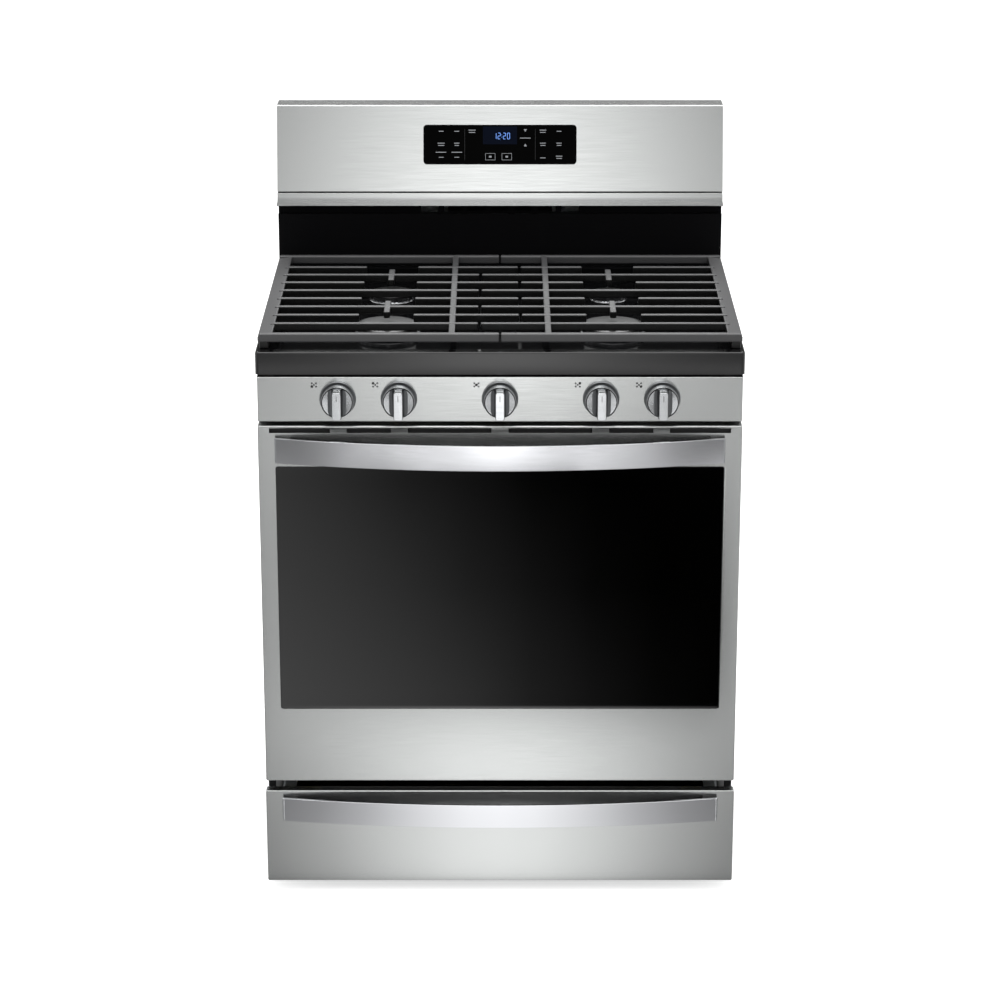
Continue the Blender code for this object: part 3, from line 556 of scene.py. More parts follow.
def folded_panel(low, high, corner, edge, holes=()):
    """A pressed panel facing front with its four sides folded back, before it gets its thickness.

    Each hole is (x low, x high, z low, z high, corner radius).
    """
    bm = block(low, high)
    bmesh.ops.delete(bm, geom=[f for f in bm.faces if f.normal.y > 0.9], context="FACES_ONLY")
    across = [e for e in bm.edges if run(e, 1) > 1e-4]
    if corner:
        round_edges(bm, across, corner, 4)
    rim = [e for e in bm.edges if lies_at(e, 1, low[1])]
    round_edges(bm, rim, edge, 4)
    for x0, x1, z0, z1, _ in holes:
        for axis, value in ((0, x0), (0, x1), (2, z0), (2, z1)):
            normal = Vector((axis == 0, 0, axis == 2))
            bmesh.ops.bisect_plane(bm, geom=bm.verts[:] + bm.edges[:] + bm.faces[:], plane_co=normal * value,
                                   plane_no=normal, dist=1e-6)
    for x0, x1, z0, z1, radius in holes:
        inside = [f for f in bm.faces if x0 < f.calc_center_median().x < x1
                  and z0 < f.calc_center_median().z < z1 and abs(f.normal.y) > 0.9]
        bmesh.ops.delete(bm, geom=inside, context="FACES")
        if radius:
            spots = [v for v in bm.verts if min(abs(v.co.x - x0), abs(v.co.x - x1)) < SAME
                     and min(abs(v.co.z - z0), abs(v.co.z - z1)) < SAME and abs(v.co.y - low[1]) < SAME]
            bmesh.ops.bevel(bm, geom=spots, offset=radius, offset_type="OFFSET", segments=4, profile=0.5,
                            affect="VERTICES", material=-1, clamp_overlap=True)
    return bm


def mark_rings(bm, middle):
    """UVs whose U runs out from the middle of something turned that faces front."""
    layer = bm.loops.layers.uv.new(BRUSH_UV)
    for face in bm.faces:
        start = face.loops[0].vert.co - middle
        begin = math.atan2(start.z, start.x)
        for loop in face.loops:
            place = loop.vert.co - middle
            reach = math.hypot(place.x, place.z)
            turn = (math.atan2(place.z, place.x) - begin + math.pi) % (2 * math.pi) - math.pi
            loop[layer].uv = (reach - place.y, turn * 0.02)


def mark_brushing(bm):
    """UVs whose U runs across a side-to-side brushing, for the steel's stretched reflections."""
    if BRUSH_UV in bm.loops.layers.uv:
        return
    layer = bm.loops.layers.uv.new(BRUSH_UV)
    for face in bm.faces:
        sideways = abs(face.normal.x) > 0.7
        level = abs(face.normal.z) > 0.7
        for loop in face.loops:
            x, y, z = loop.vert.co
            loop[layer].uv = (z, y) if sideways else ((y, x) if level else (z, x))


def even_faces(obj):
    """Keeps the big faces flat to the eye beside their rounded edges."""
    flat = obj.modifiers.new("flat_faces", "WEIGHTED_NORMAL")
    flat.keep_sharp = True


def piece(name, bm, materials, body, replaces=(), wall=0.0, smooth=45):
    """Finishes a bmesh as a piece of the object, walled inwards if it is a sheet."""
    mark_brushing(bm)
    mesh = bpy.data.meshes.new(name)
    bm.to_mesh(mesh)
    bm.free()
    for material in materials if isinstance(materials, (list, tuple)) else [materials]:
        mesh.materials.append(material)
    mesh.shade_smooth()
    mesh.set_sharp_from_angle(angle=math.radians(smooth))
    obj = add_object(name, mesh)
    if wall:
        sheet = obj.modifiers.new("sheet", "SOLIDIFY")
        sheet.thickness = wall
        sheet.offset = -1.0
        sheet.use_even_offset = True
    even_faces(obj)
    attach(obj, body)
    if replaces:
        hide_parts(*replaces)


def keep(node, material, round_mm=0.0):
    """Keeps a CAD node, with a finished material and softened edges."""
    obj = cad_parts[node]
    for slot in obj.material_slots:
        slot.material = material
    weld = obj.modifiers.new("weld", "WELD")
    weld.merge_threshold = 0.00002
    if round_mm:
        edges = obj.modifiers.new("edges", "BEVEL")
        edges.width = round_mm / 1000
        edges.segments = 2
        edges.limit_method = "ANGLE"
        edges.angle_limit = math.radians(50)
        edges.harden_normals = False
    even_faces(obj)


def screw_head(place, outward, radius=0.004):
    """A pan-head screw whose cross recess is a dark cross set in the head, painted shade for the recess."""
    head = turned([(0, 0.0022, 0), (radius * 0.7, 0.0022, 0.0012), (radius, 0.0008, 0.0004),
                   (radius, 0, 0), (0, 0, 0)], 20, 2)
    slots = [block((-radius * 0.55, -0.0004, 0.0012), (radius * 0.55, 0.0004, 0.00225)),
             block((-0.0004, -radius * 0.55, 0.0012), (0.0004, radius * 0.55, 0.00225))]
    turn = Vector(outward).to_track_quat("Z", "Y").to_matrix().to_4x4()
    whole = joined([painted(head, 0)] + [painted(s, 1) for s in slots])
    return moved(whole, Matrix.Translation(place) @ turn)


# ---------------------------------------------------------------- cooktop

WELL_DEPTH = 0.020
RIM = 0.020                           # width of the flat rim round the well


def make_cooktop():
    """The pressed and enamelled pan: a rolled band, a flat rim and a sunken well with soft shoulders."""
    low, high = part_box("cooktop")

    def within(place, margin):
        return abs(place.x) < high.x - margin and low.y + margin < place.y < high.y - margin

    bm = block(low, high)
    bmesh.ops.delete(bm, geom=[f for f in bm.faces if f.normal.z < -0.9], context="FACES_ONLY")
    top = next(f for f in bm.faces if f.normal.z > 0.99)
    bmesh.ops.inset_region(bm, faces=[top], thickness=RIM, use_even_offset=True)
    bmesh.ops.inset_region(bm, faces=[top], thickness=0.010, use_even_offset=True)
    bmesh.ops.translate(bm, verts=top.verts, vec=(0, 0, -WELL_DEPTH))
    slopes = [e for e in bm.edges if WELL_DEPTH * 0.75 < run(e) < WELL_DEPTH * 1.25]
    round_edges(bm, slopes, 0.012, 5)
    for level in (high.z, high.z - WELL_DEPTH):
        inner = [e for e in bm.edges if lies_at(e, 2, level)
                 and all(within(v.co, RIM - 0.001) for v in e.verts)
                 and any(abs(f.normal.z) < 0.95 for f in e.link_faces)]
        round_edges(bm, inner, 0.0035, 4)
    upright = [e for e in bm.edges if run(e) > 0.03]
    round_edges(bm, upright, 0.006, 5)
    rim = [e for e in bm.edges if lies_at(e, 2, high.z)
           and any(abs(f.normal.z) < 0.3 for f in e.link_faces)]
    round_edges(bm, rim, 0.0045, 5)
    for face in bm.faces:
        face.material_index = int(within(face.calc_center_median(), RIM - 0.002))
    piece("cooktop_pan", bm, [ENAMEL, WELL_ENAMEL], "root", ["cooktop"], wall=0.0014)


def burner_ports(radius, low, high, count):
    """A castellated aluminium ring: flame ports all round under the cap."""
    bm = bmesh.new()
    middle = (low + high) / 2
    bmesh.ops.create_cone(bm, cap_ends=True, segments=count * 2, radius1=radius, radius2=radius,
                          depth=high - low, matrix=Matrix.Translation((0, 0, middle)))
    sides = [f for f in bm.faces if abs(f.normal.z) < 0.5]
    sides.sort(key=lambda f: math.atan2(f.calc_center_median().y, f.calc_center_median().x))
    bmesh.ops.inset_individual(bm, faces=sides[::2], thickness=0.0005, depth=0)
    bmesh.ops.inset_individual(bm, faces=sides[::2], thickness=0.0001, depth=-0.003)
    return bm


def make_round_burner(name):
    cap_low, cap_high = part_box(f"burner_cap_{name}")
    head_low, head_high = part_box(f"burner_head_{name}")
    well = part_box("cooktop")[1].z - WELL_DEPTH
    middle = (cap_low + cap_high) / 2
    r = (cap_high.x - cap_low.x) / 2
    outer = (head_high.x - head_low.x) / 2
    z = head_high.z
    place = Matrix.Translation((middle.x, middle.y, 0))
    collar = turned([(r - 0.004, z - 0.004, 0), (r + 0.001, z - 0.0062, 0.001),
                     (r + 0.0015, well + 0.0036, 0)], 72)
    skirt = turned([(r + 0.0015, well + 0.0036, 0), (outer, well + 0.0024, 0.0012), (outer, well + 0.0003, 0),
                    (0.02, well + 0.0003, 0)], 72)
    ring = burner_ports(r - 0.0015, z - 0.0055, z - 0.0002, 30)
    lip = turned([(0, z + 0.0002, 0), (r - 0.006, z + 0.0002, 0), (r - 0.0055, z - 0.001, 0)], 72)
    head = joined([collar, painted(skirt, 1), ring, lip])
    piece(f"burner_base_{name}", moved(head, place), [ALUMINIUM, WELL_ENAMEL], "root",
          [f"burner_head_{name}"])
    top = cap_high.z
    cap = turned([(0, top, 0), (r * 0.55, top - 0.0002, 0.02), (r - 0.006, top - 0.0006, 0.006),
                  (r, top - 0.0022, 0.0016), (r, cap_low.z, 0.0006), (r - 0.003, cap_low.z, 0),
                  (0, cap_low.z, 0)], 72)
    piece(f"burner_lid_{name}", moved(cap, place), CAP_ENAMEL, "root", [f"burner_cap_{name}"])
    make_igniter(middle.x, middle.y + outer - 0.004, well)


def make_igniter(x, y, well):
    """A spark electrode: a white ceramic post with a steel tip."""
    post = turned([(0, 0.009, 0), (0.0022, 0.009, 0.0005), (0.0026, 0.0, 0), (0, 0.0, 0)], 16, 2)
    tip = turned([(0, 0.0115, 0), (0.0007, 0.0112, 0), (0.0007, 0.008, 0), (0, 0.008, 0)], 10, 1)
    both = joined([painted(post, 0), painted(tip, 1)])
    side = "left" if x < 0 else "right"
    row = "front" if y < 0 else "rear"
    piece(f"igniter_{row}_{side}", moved(both, Matrix.Translation((x, y, well))), [CERAMIC, CHROME],
          "root")


def stretched_ring(corners, reach, steps=48):
    """A turned shape pulled apart along Y by twice the reach, like a racetrack."""
    bm = turned(corners, steps)
    for vert in bm.verts:
        if abs(vert.co.y) > 1e-6:
            vert.co.y += math.copysign(reach, vert.co.y)
    return bm


def make_oval_burner():
    cap_low, cap_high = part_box("burner_cap_centre")
    middle = (cap_low + cap_high) / 2
    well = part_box("cooktop")[1].z - WELL_DEPTH
    r = (cap_high.x - cap_low.x) / 2
    reach = (cap_high.y - cap_low.y) / 2 - r
    place = Matrix.Translation((middle.x, middle.y, 0))
    head = stretched_ring([(0, cap_low.z - 0.0003, 0), (r - 0.002, cap_low.z - 0.0003, 0),
                           (r - 0.002, well + 0.005, 0.001), (r + 0.004, well + 0.002, 0.001),
                           (r + 0.004, well + 0.0003, 0), (0, well + 0.0003, 0)], reach)
    # The base is darkened with painted shade so that it stays dark under the cap.
    piece("oval_burner_base", moved(head, place), SHADE_DARKENED_STEEL, "root", ["burner_head_centre"])
    cap = stretched_ring([(0, cap_high.z, 0), (r - 0.006, cap_high.z - 0.0004, 0.005),
                          (r, cap_high.z - 0.002, 0.0015), (r, cap_low.z, 0.0005), (0, cap_low.z, 0)], reach)
    piece("oval_burner_lid", moved(cap, place), CAP_ENAMEL, "root", ["burner_cap_centre"])


# ---------------------------------------------------------------- grates

BAR_ROWS = 8
BAR_PITCH = 0.052
BAR_HALF = 0.0045
FIRST_ROW = 0.083                     # depth of the front cross bar
BURNER_X = 0.180
FLAME_GAP = 0.043                     # half the opening in the odd bars over a burner
FINGER_HALF = 0.0050
FINGER_REACH = 0.035                  # a finger's half length, from front to back
DIVIDER_X = 0.075
RAIL_X = (0.0010, 0.3745)             # ends of the front and rear rails
BAR_END = 0.3600
SIDE_X = (0.3530, 0.3760)             # width of the side rail, whose top drops outwards


def make_grate(word, side):
    """A cast-iron grate half. Rows are counted from the back; odd rows open over the burners."""
    low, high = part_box(f"grate_{word}")
    top = high.z
    bar_low = top - 0.0135
    front, back = low.y, high.y
    foot = low.z
    parts = []

    def bar(x, y, z, radius=0.0018, face=0, drop=0.0):
        """Lighter grey on top as painted light from above; the front face's finish and how far the top drops
        to the outside are given.
        """
        xs = sorted((side * x[0], side * x[1]))
        bm = block((xs[0], y[0], z[0]), (xs[1], y[1], z[1]))
        for vert in bm.verts:
            if vert.co.z > z[0] + 0.005 and abs(vert.co.x) > max(x) - 0.001:
                vert.co.z -= drop
        round_edges(bm, bm.edges[:], radius)
        # Upward faces get the painted top light; front faces get the given finish, which is a painted
        # reflection on the rails.
        for made in bm.faces:
            made.material_index = 1 if made.normal.z > 0.5 else (face if made.normal.y < -0.7 else 0)
        parts.append(bm)

    def row_middle(row):
        return FRONT + FIRST_ROW + BAR_PITCH * (BAR_ROWS - row)

    # The rails' front faces take a lighter iron, a painted reflection of the bright floor in front.
    for y in ((front, front + 0.012), (back - 0.012, back)):
        bar(RAIL_X, y, (bar_low - 0.0005, top - 0.0004), 0.0025, 2)
    bar(SIDE_X, (front + 0.001, back - 0.001), (bar_low - 0.0005, top - 0.0010), 0.0022, 2, 0.0035)
    bar((DIVIDER_X - FINGER_HALF, DIVIDER_X + FINGER_HALF), (front + 0.004, back - 0.004),
        (bar_low - 0.001, top - 0.0008))
    for row in range(1, BAR_ROWS + 1):
        y = (row_middle(row) - BAR_HALF, row_middle(row) + BAR_HALF)
        z = (bar_low + 0.001, top)
        odd = row % 2 == 1
        inside = -0.030 if odd == (side < 0) else 0.0345
        if odd:
            bar((inside, BURNER_X - FLAME_GAP), y, z)
            bar((BURNER_X + FLAME_GAP, BAR_END), y, z)
        else:
            bar((inside, BAR_END), y, z)
    for row in (2, 6):
        bar((BURNER_X - FINGER_HALF, BURNER_X + FINGER_HALF),
            (row_middle(row) - FINGER_REACH, row_middle(row) + FINGER_REACH), (bar_low + 0.002, top - 0.0003))
    for y in (front + 0.004, back - 0.024):
        bar((0.3590, 0.3735), (y, y + 0.020), (foot, bar_low + 0.004), 0.0015)
    piece(f"cast_grate_{word}", joined(parts), [IRON, TOP_LIT_IRON, RAIL_FRONT_REFLECTION_IRON], f"grate_{word}",
          [f"grate_{word}"])


# ---------------------------------------------------------------- controls

GRIP_HALF = 0.0222                    # half the length of a knob's grip bar
GRIP_SIDE = 0.0070                    # half its width
GRIP_TOP = 0.0458
DISC_RADIUS = 0.0228
BEZEL_RADIUS = 0.0258


def knob_place(word):
    low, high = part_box(f"valve_stem_{word}")
    return (low.x + high.x) / 2, (low.z + high.z) / 2


def make_control_panel():
    low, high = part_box("control_panel")
    bm = folded_panel(low, high, 0.0, 0.0015)
    piece("control_fascia", bm, STEEL, "root", ["control_panel"], wall=SHEET)
    for word in KNOBS:
        x, z = knob_place(word)
        ring = turned([(BEZEL_RADIUS, 0.0026, 0), (0.0272, 0.0028, 0.0005), (0.0284, 0.0018, 0.0008),
                       (0.0285, 0.0001, 0)], 72)
        well = turned([(0, 0.0006, 0), (BEZEL_RADIUS, 0.0006, 0), (BEZEL_RADIUS, 0.0026, 0)], 72)
        both = joined([ring, opened_up(well)])
        # The bezel's darker steel is partly painted shade round the knob.
        piece(f"knob_bezel_{word}", moved(both, facing_front(x, z)), BEZEL_STEEL_PARTLY_SHADED, "root")
        make_burner_icon(word, x - 0.0365, z + 0.0225)


def make_burner_icon(word, x, z):
    """Five printed dots in the cooktop's layout, the knob's own one larger and filled."""
    spots = zip(KNOBS, ((-1, -1), (-1, 1), (0, 0), (1, 1), (1, -1)))
    parts = []
    for spot, (across, up) in spots:
        hole, outer = (0.0, 0.0021) if spot == word else (0.0004, 0.0015)
        dot = turned([(outer, 0.00012, 0), (outer, -0.0001, 0), (hole, -0.0001, 0), (hole, 0.00012, 0),
                      (outer, 0.00012, 0)], 16, 1)
        parts.append(moved(dot, facing_front(x + across * 0.0032, z + up * 0.0026)))
    piece(f"burner_icon_{word}", joined(parts), DARK_PRINT, "root")


def make_knob(word):
    """A turned knob: a rim, a groove blackened as painted shade, and a tall grip bar that rises out of a
    hollow on each side; the hollows and the grip's flanks are darkened as painted shade.
    """
    x, z = knob_place(word)
    disc = turned([(0, 0.0220, 0), (0.0150, 0.0221, 0.02), (0.0229, 0.0226, 0)], 72)
    # The groove is blackened as painted shade.
    groove = turned([(0.0229, 0.0226, 0), (0.0230, 0.0205, 0), (0.0244, 0.0205, 0), (0.0245, 0.0224, 0)], 72)
    rim = turned([(0.0245, 0.0224, 0), (0.0250, 0.0222, 0.0002), (0.0250, 0.0079, 0.0006),
                  (0.0060, 0.0079, 0)], 72)
    side = softened([(0.0145, 0.0224, 0), (0.0074, 0.0232, 0.0060), (GRIP_SIDE, GRIP_TOP, 0)], 6)
    hollow = bmesh.new()
    for sign in (-1, 1):
        verts = [hollow.verts.new((sign * p.x, -GRIP_HALF, p.y)) for p in side]
        draw_out(hollow, verts, (0, 2 * GRIP_HALF, 0))
    for vert in hollow.verts:
        reach = math.sqrt(max(0.0, DISC_RADIUS ** 2 - vert.co.x ** 2))
        vert.co.y = max(-reach, min(reach, vert.co.y))
    bmesh.ops.recalc_face_normals(hollow, faces=hollow.faces)
    for face in hollow.faces:
        if face.normal.x * face.calc_center_median().x < 0:
            face.normal_flip()
    grip = block((-GRIP_SIDE, -GRIP_HALF, 0.0200), (GRIP_SIDE, GRIP_HALF, GRIP_TOP))
    ends = [e for e in grip.edges if run(e) > 0.01]
    round_edges(grip, ends, 0.0030, 4)
    crown = [e for e in grip.edges if lies_at(e, 2, GRIP_TOP)]
    round_edges(grip, crown, 0.0010, 3)
    # The grip's flanks take the darkened steel as painted shade.
    for face in grip.faces:
        face.material_index = 3 if abs(face.normal.x) > 0.9 else 2
    line = block((-0.0005, 0.0080, 0.0440), (0.0005, 0.0175, 0.0459), 0.0002, 1)
    whole = joined([opened_up(disc), painted(opened_up(groove), 1), painted(rim, 2), painted(hollow, 3), grip,
                    painted(line, 1)])
    moved(whole, facing_front(x, z))
    mark_rings(whole, Vector((x, FRONT, z)))
    piece(f"knob_shell_{word}", whole, [KNOB_STEEL, BLACK_NYLON_AND_SHADE, KNOB_CHROME, SHADE_DARKENED_STEEL], f"knob_{word}",
          [f"knob_{word}"])


# ---------------------------------------------------------------- backguard

def make_backguard():
    """A leaning face with a tight bend to its flat top, over a flange that flares out at its foot."""
    low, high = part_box("backguard_shell")
    half, back, top = high
    foot, tip = low.z, low.y
    face_low = (FRONT + 0.567, 1.040)
    face_high = (FRONT + 0.6006, 1.1795)
    shell = drawn_across([(back, top - 0.001, 0), (FRONT + 0.6013, top, 0.0020), (*face_low, 0.0008),
                          (FRONT + 0.5720, 1.0398, 0)], -half, half, 6)
    flange = drawn_across([(FRONT + 0.5720, 1.0378, 0), (FRONT + 0.5677, 1.0376, 0.0006),
                           (FRONT + 0.5652, 1.0280, 0.060), (tip + 0.0008, foot + 0.0010, 0.0008),
                           (tip + 0.0030, foot, 0)], -half, half, 10)
    for vert in flange.verts:
        if vert.co.z < foot + 0.0025:
            vert.co.x += math.copysign(0.0014, vert.co.x)
    piece("backguard_face", joined([shell, flange]), STEEL, "root", ["backguard_shell"],
          wall=SHEET)
    outline = [(back, top - 0.0012, 0), (FRONT + 0.6040, top - 0.0008, 0),
               (face_high[0] + 0.0012, face_high[1] - 0.001, 0), (face_low[0] + 0.0008, face_low[1], 0),
               (FRONT + 0.5725, 1.0390, 0), (FRONT + 0.5700, 1.0330, 0), (FRONT + 0.5660, 1.0235, 0),
               (tip + 0.003, foot + 0.001, 0), (back, foot + 0.001, 0)]
    for word, side in SIDES:
        outer = side * (half - 0.0006)
        cap = drawn_across(outline, *sorted((outer, outer - side * 0.0012)), closed=True)
        piece(f"backguard_end_{word}", cap, STEEL, "root")


def on_display(u, v, lift=0.0):
    """A place on the touch glass, u to the right and v up from its middle, as a matrix."""
    low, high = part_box("display_glass")
    lean = math.atan2(0.033, 0.137)
    out = Vector((0, -math.cos(lean), math.sin(lean)))
    up = Vector((0, math.sin(lean), math.cos(lean)))
    right = Vector((1, 0, 0))
    place = (low + high) / 2 + right * u + up * v + out * (0.0010 + lift)
    turn = Matrix((right, up, out)).transposed().to_4x4()
    return Matrix.Translation(place) @ turn


def plate(u, v, width, height, lift=0.0001, thick=0.0002, radius=0.0):
    """A small flat mark on the touch glass."""
    bm = block((-width / 2, -height / 2, -thick), (width / 2, height / 2, 0))
    if radius:
        round_edges(bm, [e for e in bm.edges if run(e) > thick / 2], radius, 4)
    return moved(bm, on_display(u, v, lift))


def make_display():
    low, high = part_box("display_glass")
    half = (high.x - low.x) / 2
    glass = block((-half, -0.0335, -0.0020), (half, 0.0335, 0.0))
    round_edges(glass, [e for e in glass.edges if run(e) > 0.001], 0.006, 6)
    crown = [e for e in glass.edges if lies_at(e, 2, 0.0)]
    round_edges(glass, crown, 0.0006, 2)
    piece("touch_glass", moved(glass, on_display(0, 0)), TOUCH_GLASS, "root",
          ["display_glass"])
    piece("clock_window", plate(0, 0.0155, 0.058, 0.030, radius=0.001), CLOCK_FILTER, "root")
    make_clock()
    make_key_labels()


SEGMENTS = {"0": "abcdef", "1": "bc", "2": "abged"}


def make_clock():
    """Seven-segment digits reading twenty past twelve."""
    width, height, stroke = 0.0040, 0.0100, 0.0009
    level = (("a", height / 2), ("g", 0), ("d", -height / 2))
    bars = {letter: (0, dv, width, stroke) for letter, dv in level}
    for letter, across, up in (("b", 1, 1), ("c", 1, -1), ("f", -1, 1), ("e", -1, -1)):
        bars[letter] = (across * width / 2, up * height / 4, stroke, height / 2)
    parts = []
    for digit, u in zip("1220", (-0.0085, -0.0015, 0.0075, 0.0145)):
        for letter in SEGMENTS[digit]:
            du, dv, w, h = bars[letter]
            parts.append(plate(u + du, 0.0145 + dv, w * 0.86, h * 0.9, 0.0003))
    for dv in (-0.002, 0.002):
        parts.append(plate(0.0030, 0.0145 + dv, 0.0009, 0.0009, 0.0003))
    piece("clock_digits", joined(parts), DIGITS, "root")


# Each key's printing: its place across and up in metres, its width in millimetres and its lines.
DASHES = ((-0.100, 0.0225, 8, 1), (-0.0735, 0.0225, 8, 1), (-0.0475, 0.0225, 12, 2),
          (-0.100, 0.0005, 12, 2), (-0.0735, 0.0005, 9, 2), (-0.1005, -0.0130, 18, 1),
          (-0.0735, -0.0130, 18, 1), (-0.100, -0.0215, 8, 1), (-0.0735, -0.0215, 8, 1),
          (0.043, 0.0110, 18, 1), (0.073, 0.0225, 11, 2), (0.1005, 0.0225, 8, 1), (0.073, 0.0005, 10, 2),
          (0.1005, 0.0005, 9, 2), (0.073, -0.0225, 9, 1), (0.1005, -0.0215, 11, 2))


def make_key_labels():
    """Plain dashes stand for the keys' printing, and an outline for each of the two framed keys."""
    parts = []
    for u, v, width, lines in DASHES:
        for i in range(lines):
            drop = (i - (lines - 1) / 2) * 0.0038
            parts.append(plate(u, v - drop, (width - 1.5 * i) / 1000, 0.0012))
    for u in (-0.0165, 0.0115):
        for du, dv, w, h in ((0, 0.0055, 0.0165, 0.0006), (0, -0.0055, 0.0165, 0.0006),
                             (0.0082, 0, 0.0006, 0.0112), (-0.0082, 0, 0.0006, 0.0112),
                             (0, 0, 0.0042, 0.0030)):
            parts.append(plate(u + du, -0.0205 + dv, w, h))
    rules = [plate(u, 0, 0.0004, 0.052) for u in (-0.0600, 0.0600)]
    piece("key_rules", joined(rules), FAINT_PRINT, "root")
    for v, turn in ((0.0245, 0), (-0.0015, math.pi)):
        bm = bmesh.new()
        bmesh.ops.create_cone(bm, cap_ends=True, segments=3, radius1=0.0030, radius2=0.0030, depth=0.0002)
        parts.append(moved(bm, on_display(0.043, v) @ Matrix.Rotation(turn + math.pi, 4, "Z")))
    piece("key_print", joined(parts), PRINT, "root")


# ---------------------------------------------------------------- door and drawer

VENTS = ((0.0134, 0.1435), (0.170, 0.239), (0.265, 0.360))
VENT_HEIGHTS = (0.7834, 0.7912)
HINGE_NOTCH = (0.3550, 0.3710)
NOTCH_DEPTH = 0.011
GLASS_DEPTH = 0.0004                  # how far the window sits behind the band's face
FIT = 0.0003                          # gap round the window


def make_door():
    low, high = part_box("door_skin")
    glass_low, glass_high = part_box("door_outer_glass")
    holes = [(glass_low.x - FIT, glass_high.x + FIT, glass_low.z - FIT, glass_high.z + FIT, 0.004)]
    for near, far in VENTS:
        for _, side in SIDES:
            holes.append((*sorted((side * near, side * far)), *VENT_HEIGHTS, 0.0))
    bm = folded_panel(low, high, 0.003, 0.0016, holes)
    cut_hinge_notches(bm)
    piece("door_skin_sheet", bm, STEEL, "door", ["door_skin"], wall=SHEET)
    vents = folded_panel((low.x + 0.01, low.y + 0.006, 0.775), (high.x - 0.01, low.y + 0.02, 0.7925),
                         0.0, 0.001)
    piece("door_vent_shroud", vents, BLACK_NYLON_AND_SHADE, "door", wall=SHEET)
    face = FRONT + GLASS_DEPTH
    glass = block((glass_low.x, face, glass_low.z), (glass_high.x, face + 0.004, glass_high.z))
    round_edges(glass, [e for e in glass.edges if run(e, 1) > 0.003], 0.004, 5)
    round_edges(glass, [e for e in glass.edges if lies_at(e, 1, face)], 0.0010, 2)
    piece("door_window", glass, BLACK_GLASS, "door", ["door_outer_glass"])
    make_handle("door_handle", "door")


def cut_hinge_notches(bm):
    """Opens the skin's bottom fold where the hinge brackets come through as the door drops."""
    near, far = HINGE_NOTCH
    cuts = [((x, 0, 0), (1, 0, 0)) for x in (near, far, -near, -far)]
    for plane, normal in cuts + [((0, FRONT + NOTCH_DEPTH, 0), (0, 1, 0))]:
        fold = [f for f in bm.faces if f.normal.z < -0.9]
        around = dict.fromkeys(g for f in fold for g in (*f.verts, *f.edges))
        bmesh.ops.bisect_plane(bm, geom=fold + list(around), plane_co=plane, plane_no=normal, dist=1e-6)
    notch = [f for f in bm.faces if f.normal.z < -0.9 and near < abs(f.calc_center_median().x) < far
             and f.calc_center_median().y > FRONT + NOTCH_DEPTH]
    bmesh.ops.delete(bm, geom=notch, context="FACES")


def make_drawer():
    low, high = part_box("drawer_front")
    piece("drawer_fascia", folded_panel(low, high, 0.003, 0.0016), STEEL, "drawer",
          ["drawer_front"], wall=SHEET)
    make_handle("drawer_handle", "drawer")


def make_handle(node, body):
    """A bowed flat strap with rounded edges, on a foot at each end, blackened behind by a dark lining that is
    painted shade, which the steel behind reflects as a dark crescent.
    """
    low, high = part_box(node)
    half = high.x
    end = FRONT - 0.012
    bow = end - low.y
    radius = (half * half + bow * bow) / (2 * bow)
    thick = 0.0060
    centre_y = low.y + radius
    sweep = math.asin(half / radius)

    def section(inset, outward, inward, rounding):
        """An upright strip of the strap, spun about the bow's centre."""
        bm = bmesh.new()
        z0, z1 = low.z + inset, high.z - inset
        out, back = radius - outward, radius - inward
        corners = [(out, z0, 0), (out, z1, rounding), (back, z1, rounding), (back, z0, rounding),
                   (out, z0, rounding), (out, z1, 0)]
        path = softened(corners, 4)[1:-1]
        verts = [bm.verts.new((0, centre_y - p.x, p.y)) for p in path]
        face = bm.faces.new(verts)
        bmesh.ops.rotate(bm, verts=bm.verts, cent=(0, centre_y, 0), matrix=Matrix.Rotation(-sweep, 3, "Z"))
        bmesh.ops.spin(bm, geom=[face], cent=(0, centre_y, 0), axis=(0, 0, 1), angle=2 * sweep, steps=48)
        bmesh.ops.holes_fill(bm, edges=[e for e in bm.edges if e.is_boundary])
        bmesh.ops.remove_doubles(bm, verts=bm.verts, dist=1e-6)
        bmesh.ops.recalc_face_normals(bm, faces=bm.faces)
        return bm

    strap = section(0.0, 0.0, thick * 0.72, 0.0)
    ends = [e for e in strap.edges if run(e) > 0.02
            and min(abs(abs(v.co.x) - half) for v in e.verts) < 0.0004]
    round_edges(strap, ends, 0.0034, 1)
    rims = [e for e in strap.edges if run(e) < 0.001 and e.calc_face_angle(0) > 0.8]
    round_edges(strap, rims, 0.0005)
    shade_lining = section(0.0012, thick * 0.70, thick, 0.0003)
    feet = []
    for _, side in SIDES:
        x = sorted((side * (half - 0.024), side * (half - 0.0030)))
        feet.append(block((x[0], end + 0.0035, low.z + 0.002), (x[1], FRONT - FIT, high.z - 0.002), 0.001))
    piece(f"{node}_strap", strap, POLISHED, body, [node], smooth=28)
    # The dark lining is painted shade behind the strap.
    piece(f"{node}_lining", joined([shade_lining] + feet), OXIDE_AND_SHADE_STEEL, body)


# ---------------------------------------------------------------- oven and rear details

RACK_WIRES = 15
RACK_RIM = 0.0028                     # radius of a rack's outer wire
RACK_WIRE = 0.0017


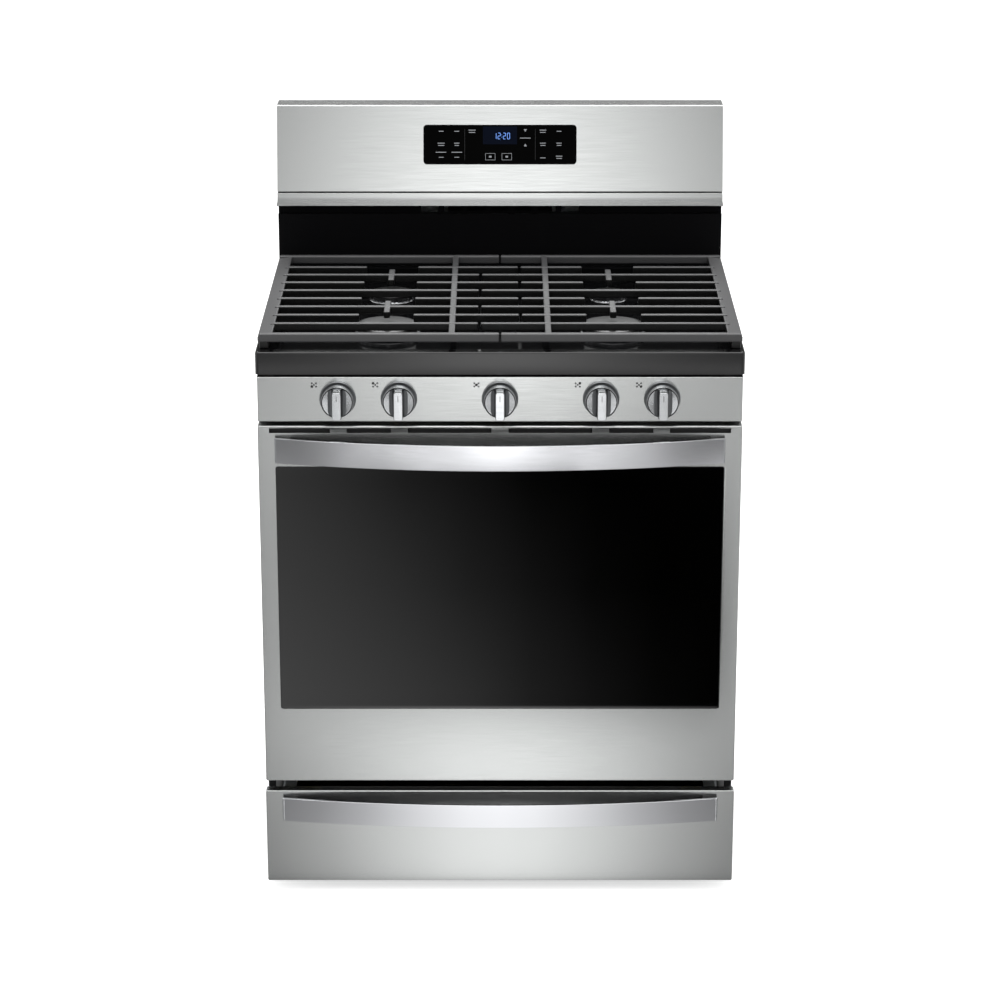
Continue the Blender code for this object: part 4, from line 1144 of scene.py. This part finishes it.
def make_rack(word):
    """A plated wire rack: a heavy rim, thin wires from front to back and two cross wires below."""
    node = f"oven_rack_{word}"
    low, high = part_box(node)
    rim, wire = RACK_RIM, RACK_WIRE
    middle = (low.z + high.z) / 2
    x0, x1, y0, y1 = low.x + rim, high.x - rim, low.y + rim, high.y - rim
    corners = [(x0, y0), (x1, y0), (x1, y1), (x0, y1)]
    rods = []
    for i, corner in enumerate(corners):
        after = corners[(i + 1) % 4]
        rods.append(rod((*corner, middle), (*after, middle), rim))
        rods.append(knuckle((*corner, middle), rim))
    for i in range(1, RACK_WIRES + 1):
        x = x0 + (x1 - x0) * i / (RACK_WIRES + 1)
        rods.append(rod((x, y0, high.z - wire), (x, y1, high.z - wire), wire, 8))
    for share in (0.33, 0.67):
        y = y0 + (y1 - y0) * share
        rods.append(rod((x0, y, low.z + wire), (x1, y, low.z + wire), wire, 8))
    piece(f"{node}_wires", joined(rods), CHROME, "root", [node])


def knuckle(place, radius):
    """The bend at a corner of a wire frame."""
    bm = bmesh.new()
    bmesh.ops.create_uvsphere(bm, u_segments=12, v_segments=8, radius=radius,
                              matrix=Matrix.Translation(place))
    return bm


def make_rear_screws():
    """Sheet-metal screws round the rear panel and the backguard's rear cover."""
    panel_low, panel_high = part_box("rear_panel")
    cover_low, cover_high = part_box("backguard_rear_cover")
    places = []
    for x in (-0.360, -0.180, 0.0, 0.180, 0.360):
        places.append((x, panel_high.y, panel_low.z + 0.012))
        places.append((x, cover_high.y, cover_high.z - 0.012))
    for z in (0.330, 0.500, 0.670):
        places += [(side * 0.366, panel_high.y, z) for _, side in SIDES]
    for z in (0.930, 1.050):
        places += [(side * 0.368, cover_high.y, z) for _, side in SIDES]
    heads = [screw_head(place, (0, 1, 0)) for place in places]
    piece("rear_screws", joined(heads), [CHROME, OXIDE_AND_SHADE_STEEL], "root")


def make_sensor():
    """The oven's temperature probe: a steel tube out of a small flange high on the back wall."""
    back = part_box("oven_liner")[1].y - 0.0013
    tube = turned([(0, 0.110, 0), (0.0024, 0.109, 0.0012), (0.0024, 0.0016, 0), (0.0105, 0.0016, 0.0004),
                   (0.0105, 0, 0)], 24)
    place = Matrix.Translation((0.205, back, 0.668)) @ Matrix.Rotation(math.pi / 2, 4, "X")
    piece("oven_sensor", moved(tube, place), CHROME, "root")


# ---------------------------------------------------------------- kept frame nodes

def finish_frame_nodes():
    for side, _ in SIDES:
        keep(f"side_panel_{side}", SIDE_ENAMEL, 0.4)
        keep(f"door_hinge_{side}", OXIDE_AND_SHADE_STEEL, 0.3)
        for row in ("front", "rear"):
            keep(f"levelling_leg_{row}_{side}", BLACK_NYLON_AND_SHADE, 0.4)
    keep("flue_duct", WELL_ENAMEL)
    for node in ("rear_panel", "backguard_rear_cover", "base_frame", "bake_burner", "broil_burner"):
        keep(node, ZINC)
    for node in ("oven_liner", "oven_floor", "door_inner_panel"):
        keep(node, CAVITY, 0.4)
    for node in ("oven_front_frame", "drawer_box"):
        keep(node, ENAMEL, 0.4)
    keep("riser", WELL_ENAMEL, 0.4)
    for word in KNOBS:
        keep(f"valve_stem_{word}", ALUMINIUM, 0.3)
    keep("gas_manifold", ALUMINIUM)
    keep("gas_regulator", BRASS, 0.5)
    keep("power_inlet", BLACK_NYLON_AND_SHADE, 0.3)
    keep("oven_insulation", WOOL)
    keep("door_gasket", WOVEN, 1.0)
    keep("door_inner_glass", INNER_GLASS, 0.5)
    keep("oven_lamp", INNER_GLASS, 0.5)


make_camera()
make_studio()
make_cooktop()
for burner in BURNERS:
    make_round_burner(burner)
make_oval_burner()
for half, direction in SIDES:
    make_grate(half, direction)
make_control_panel()
for knob in KNOBS:
    make_knob(knob)
make_backguard()
make_display()
make_door()
make_drawer()
for level in ("lower", "upper"):
    make_rack(level)
make_sensor()
make_rear_screws()
finish_frame_nodes()
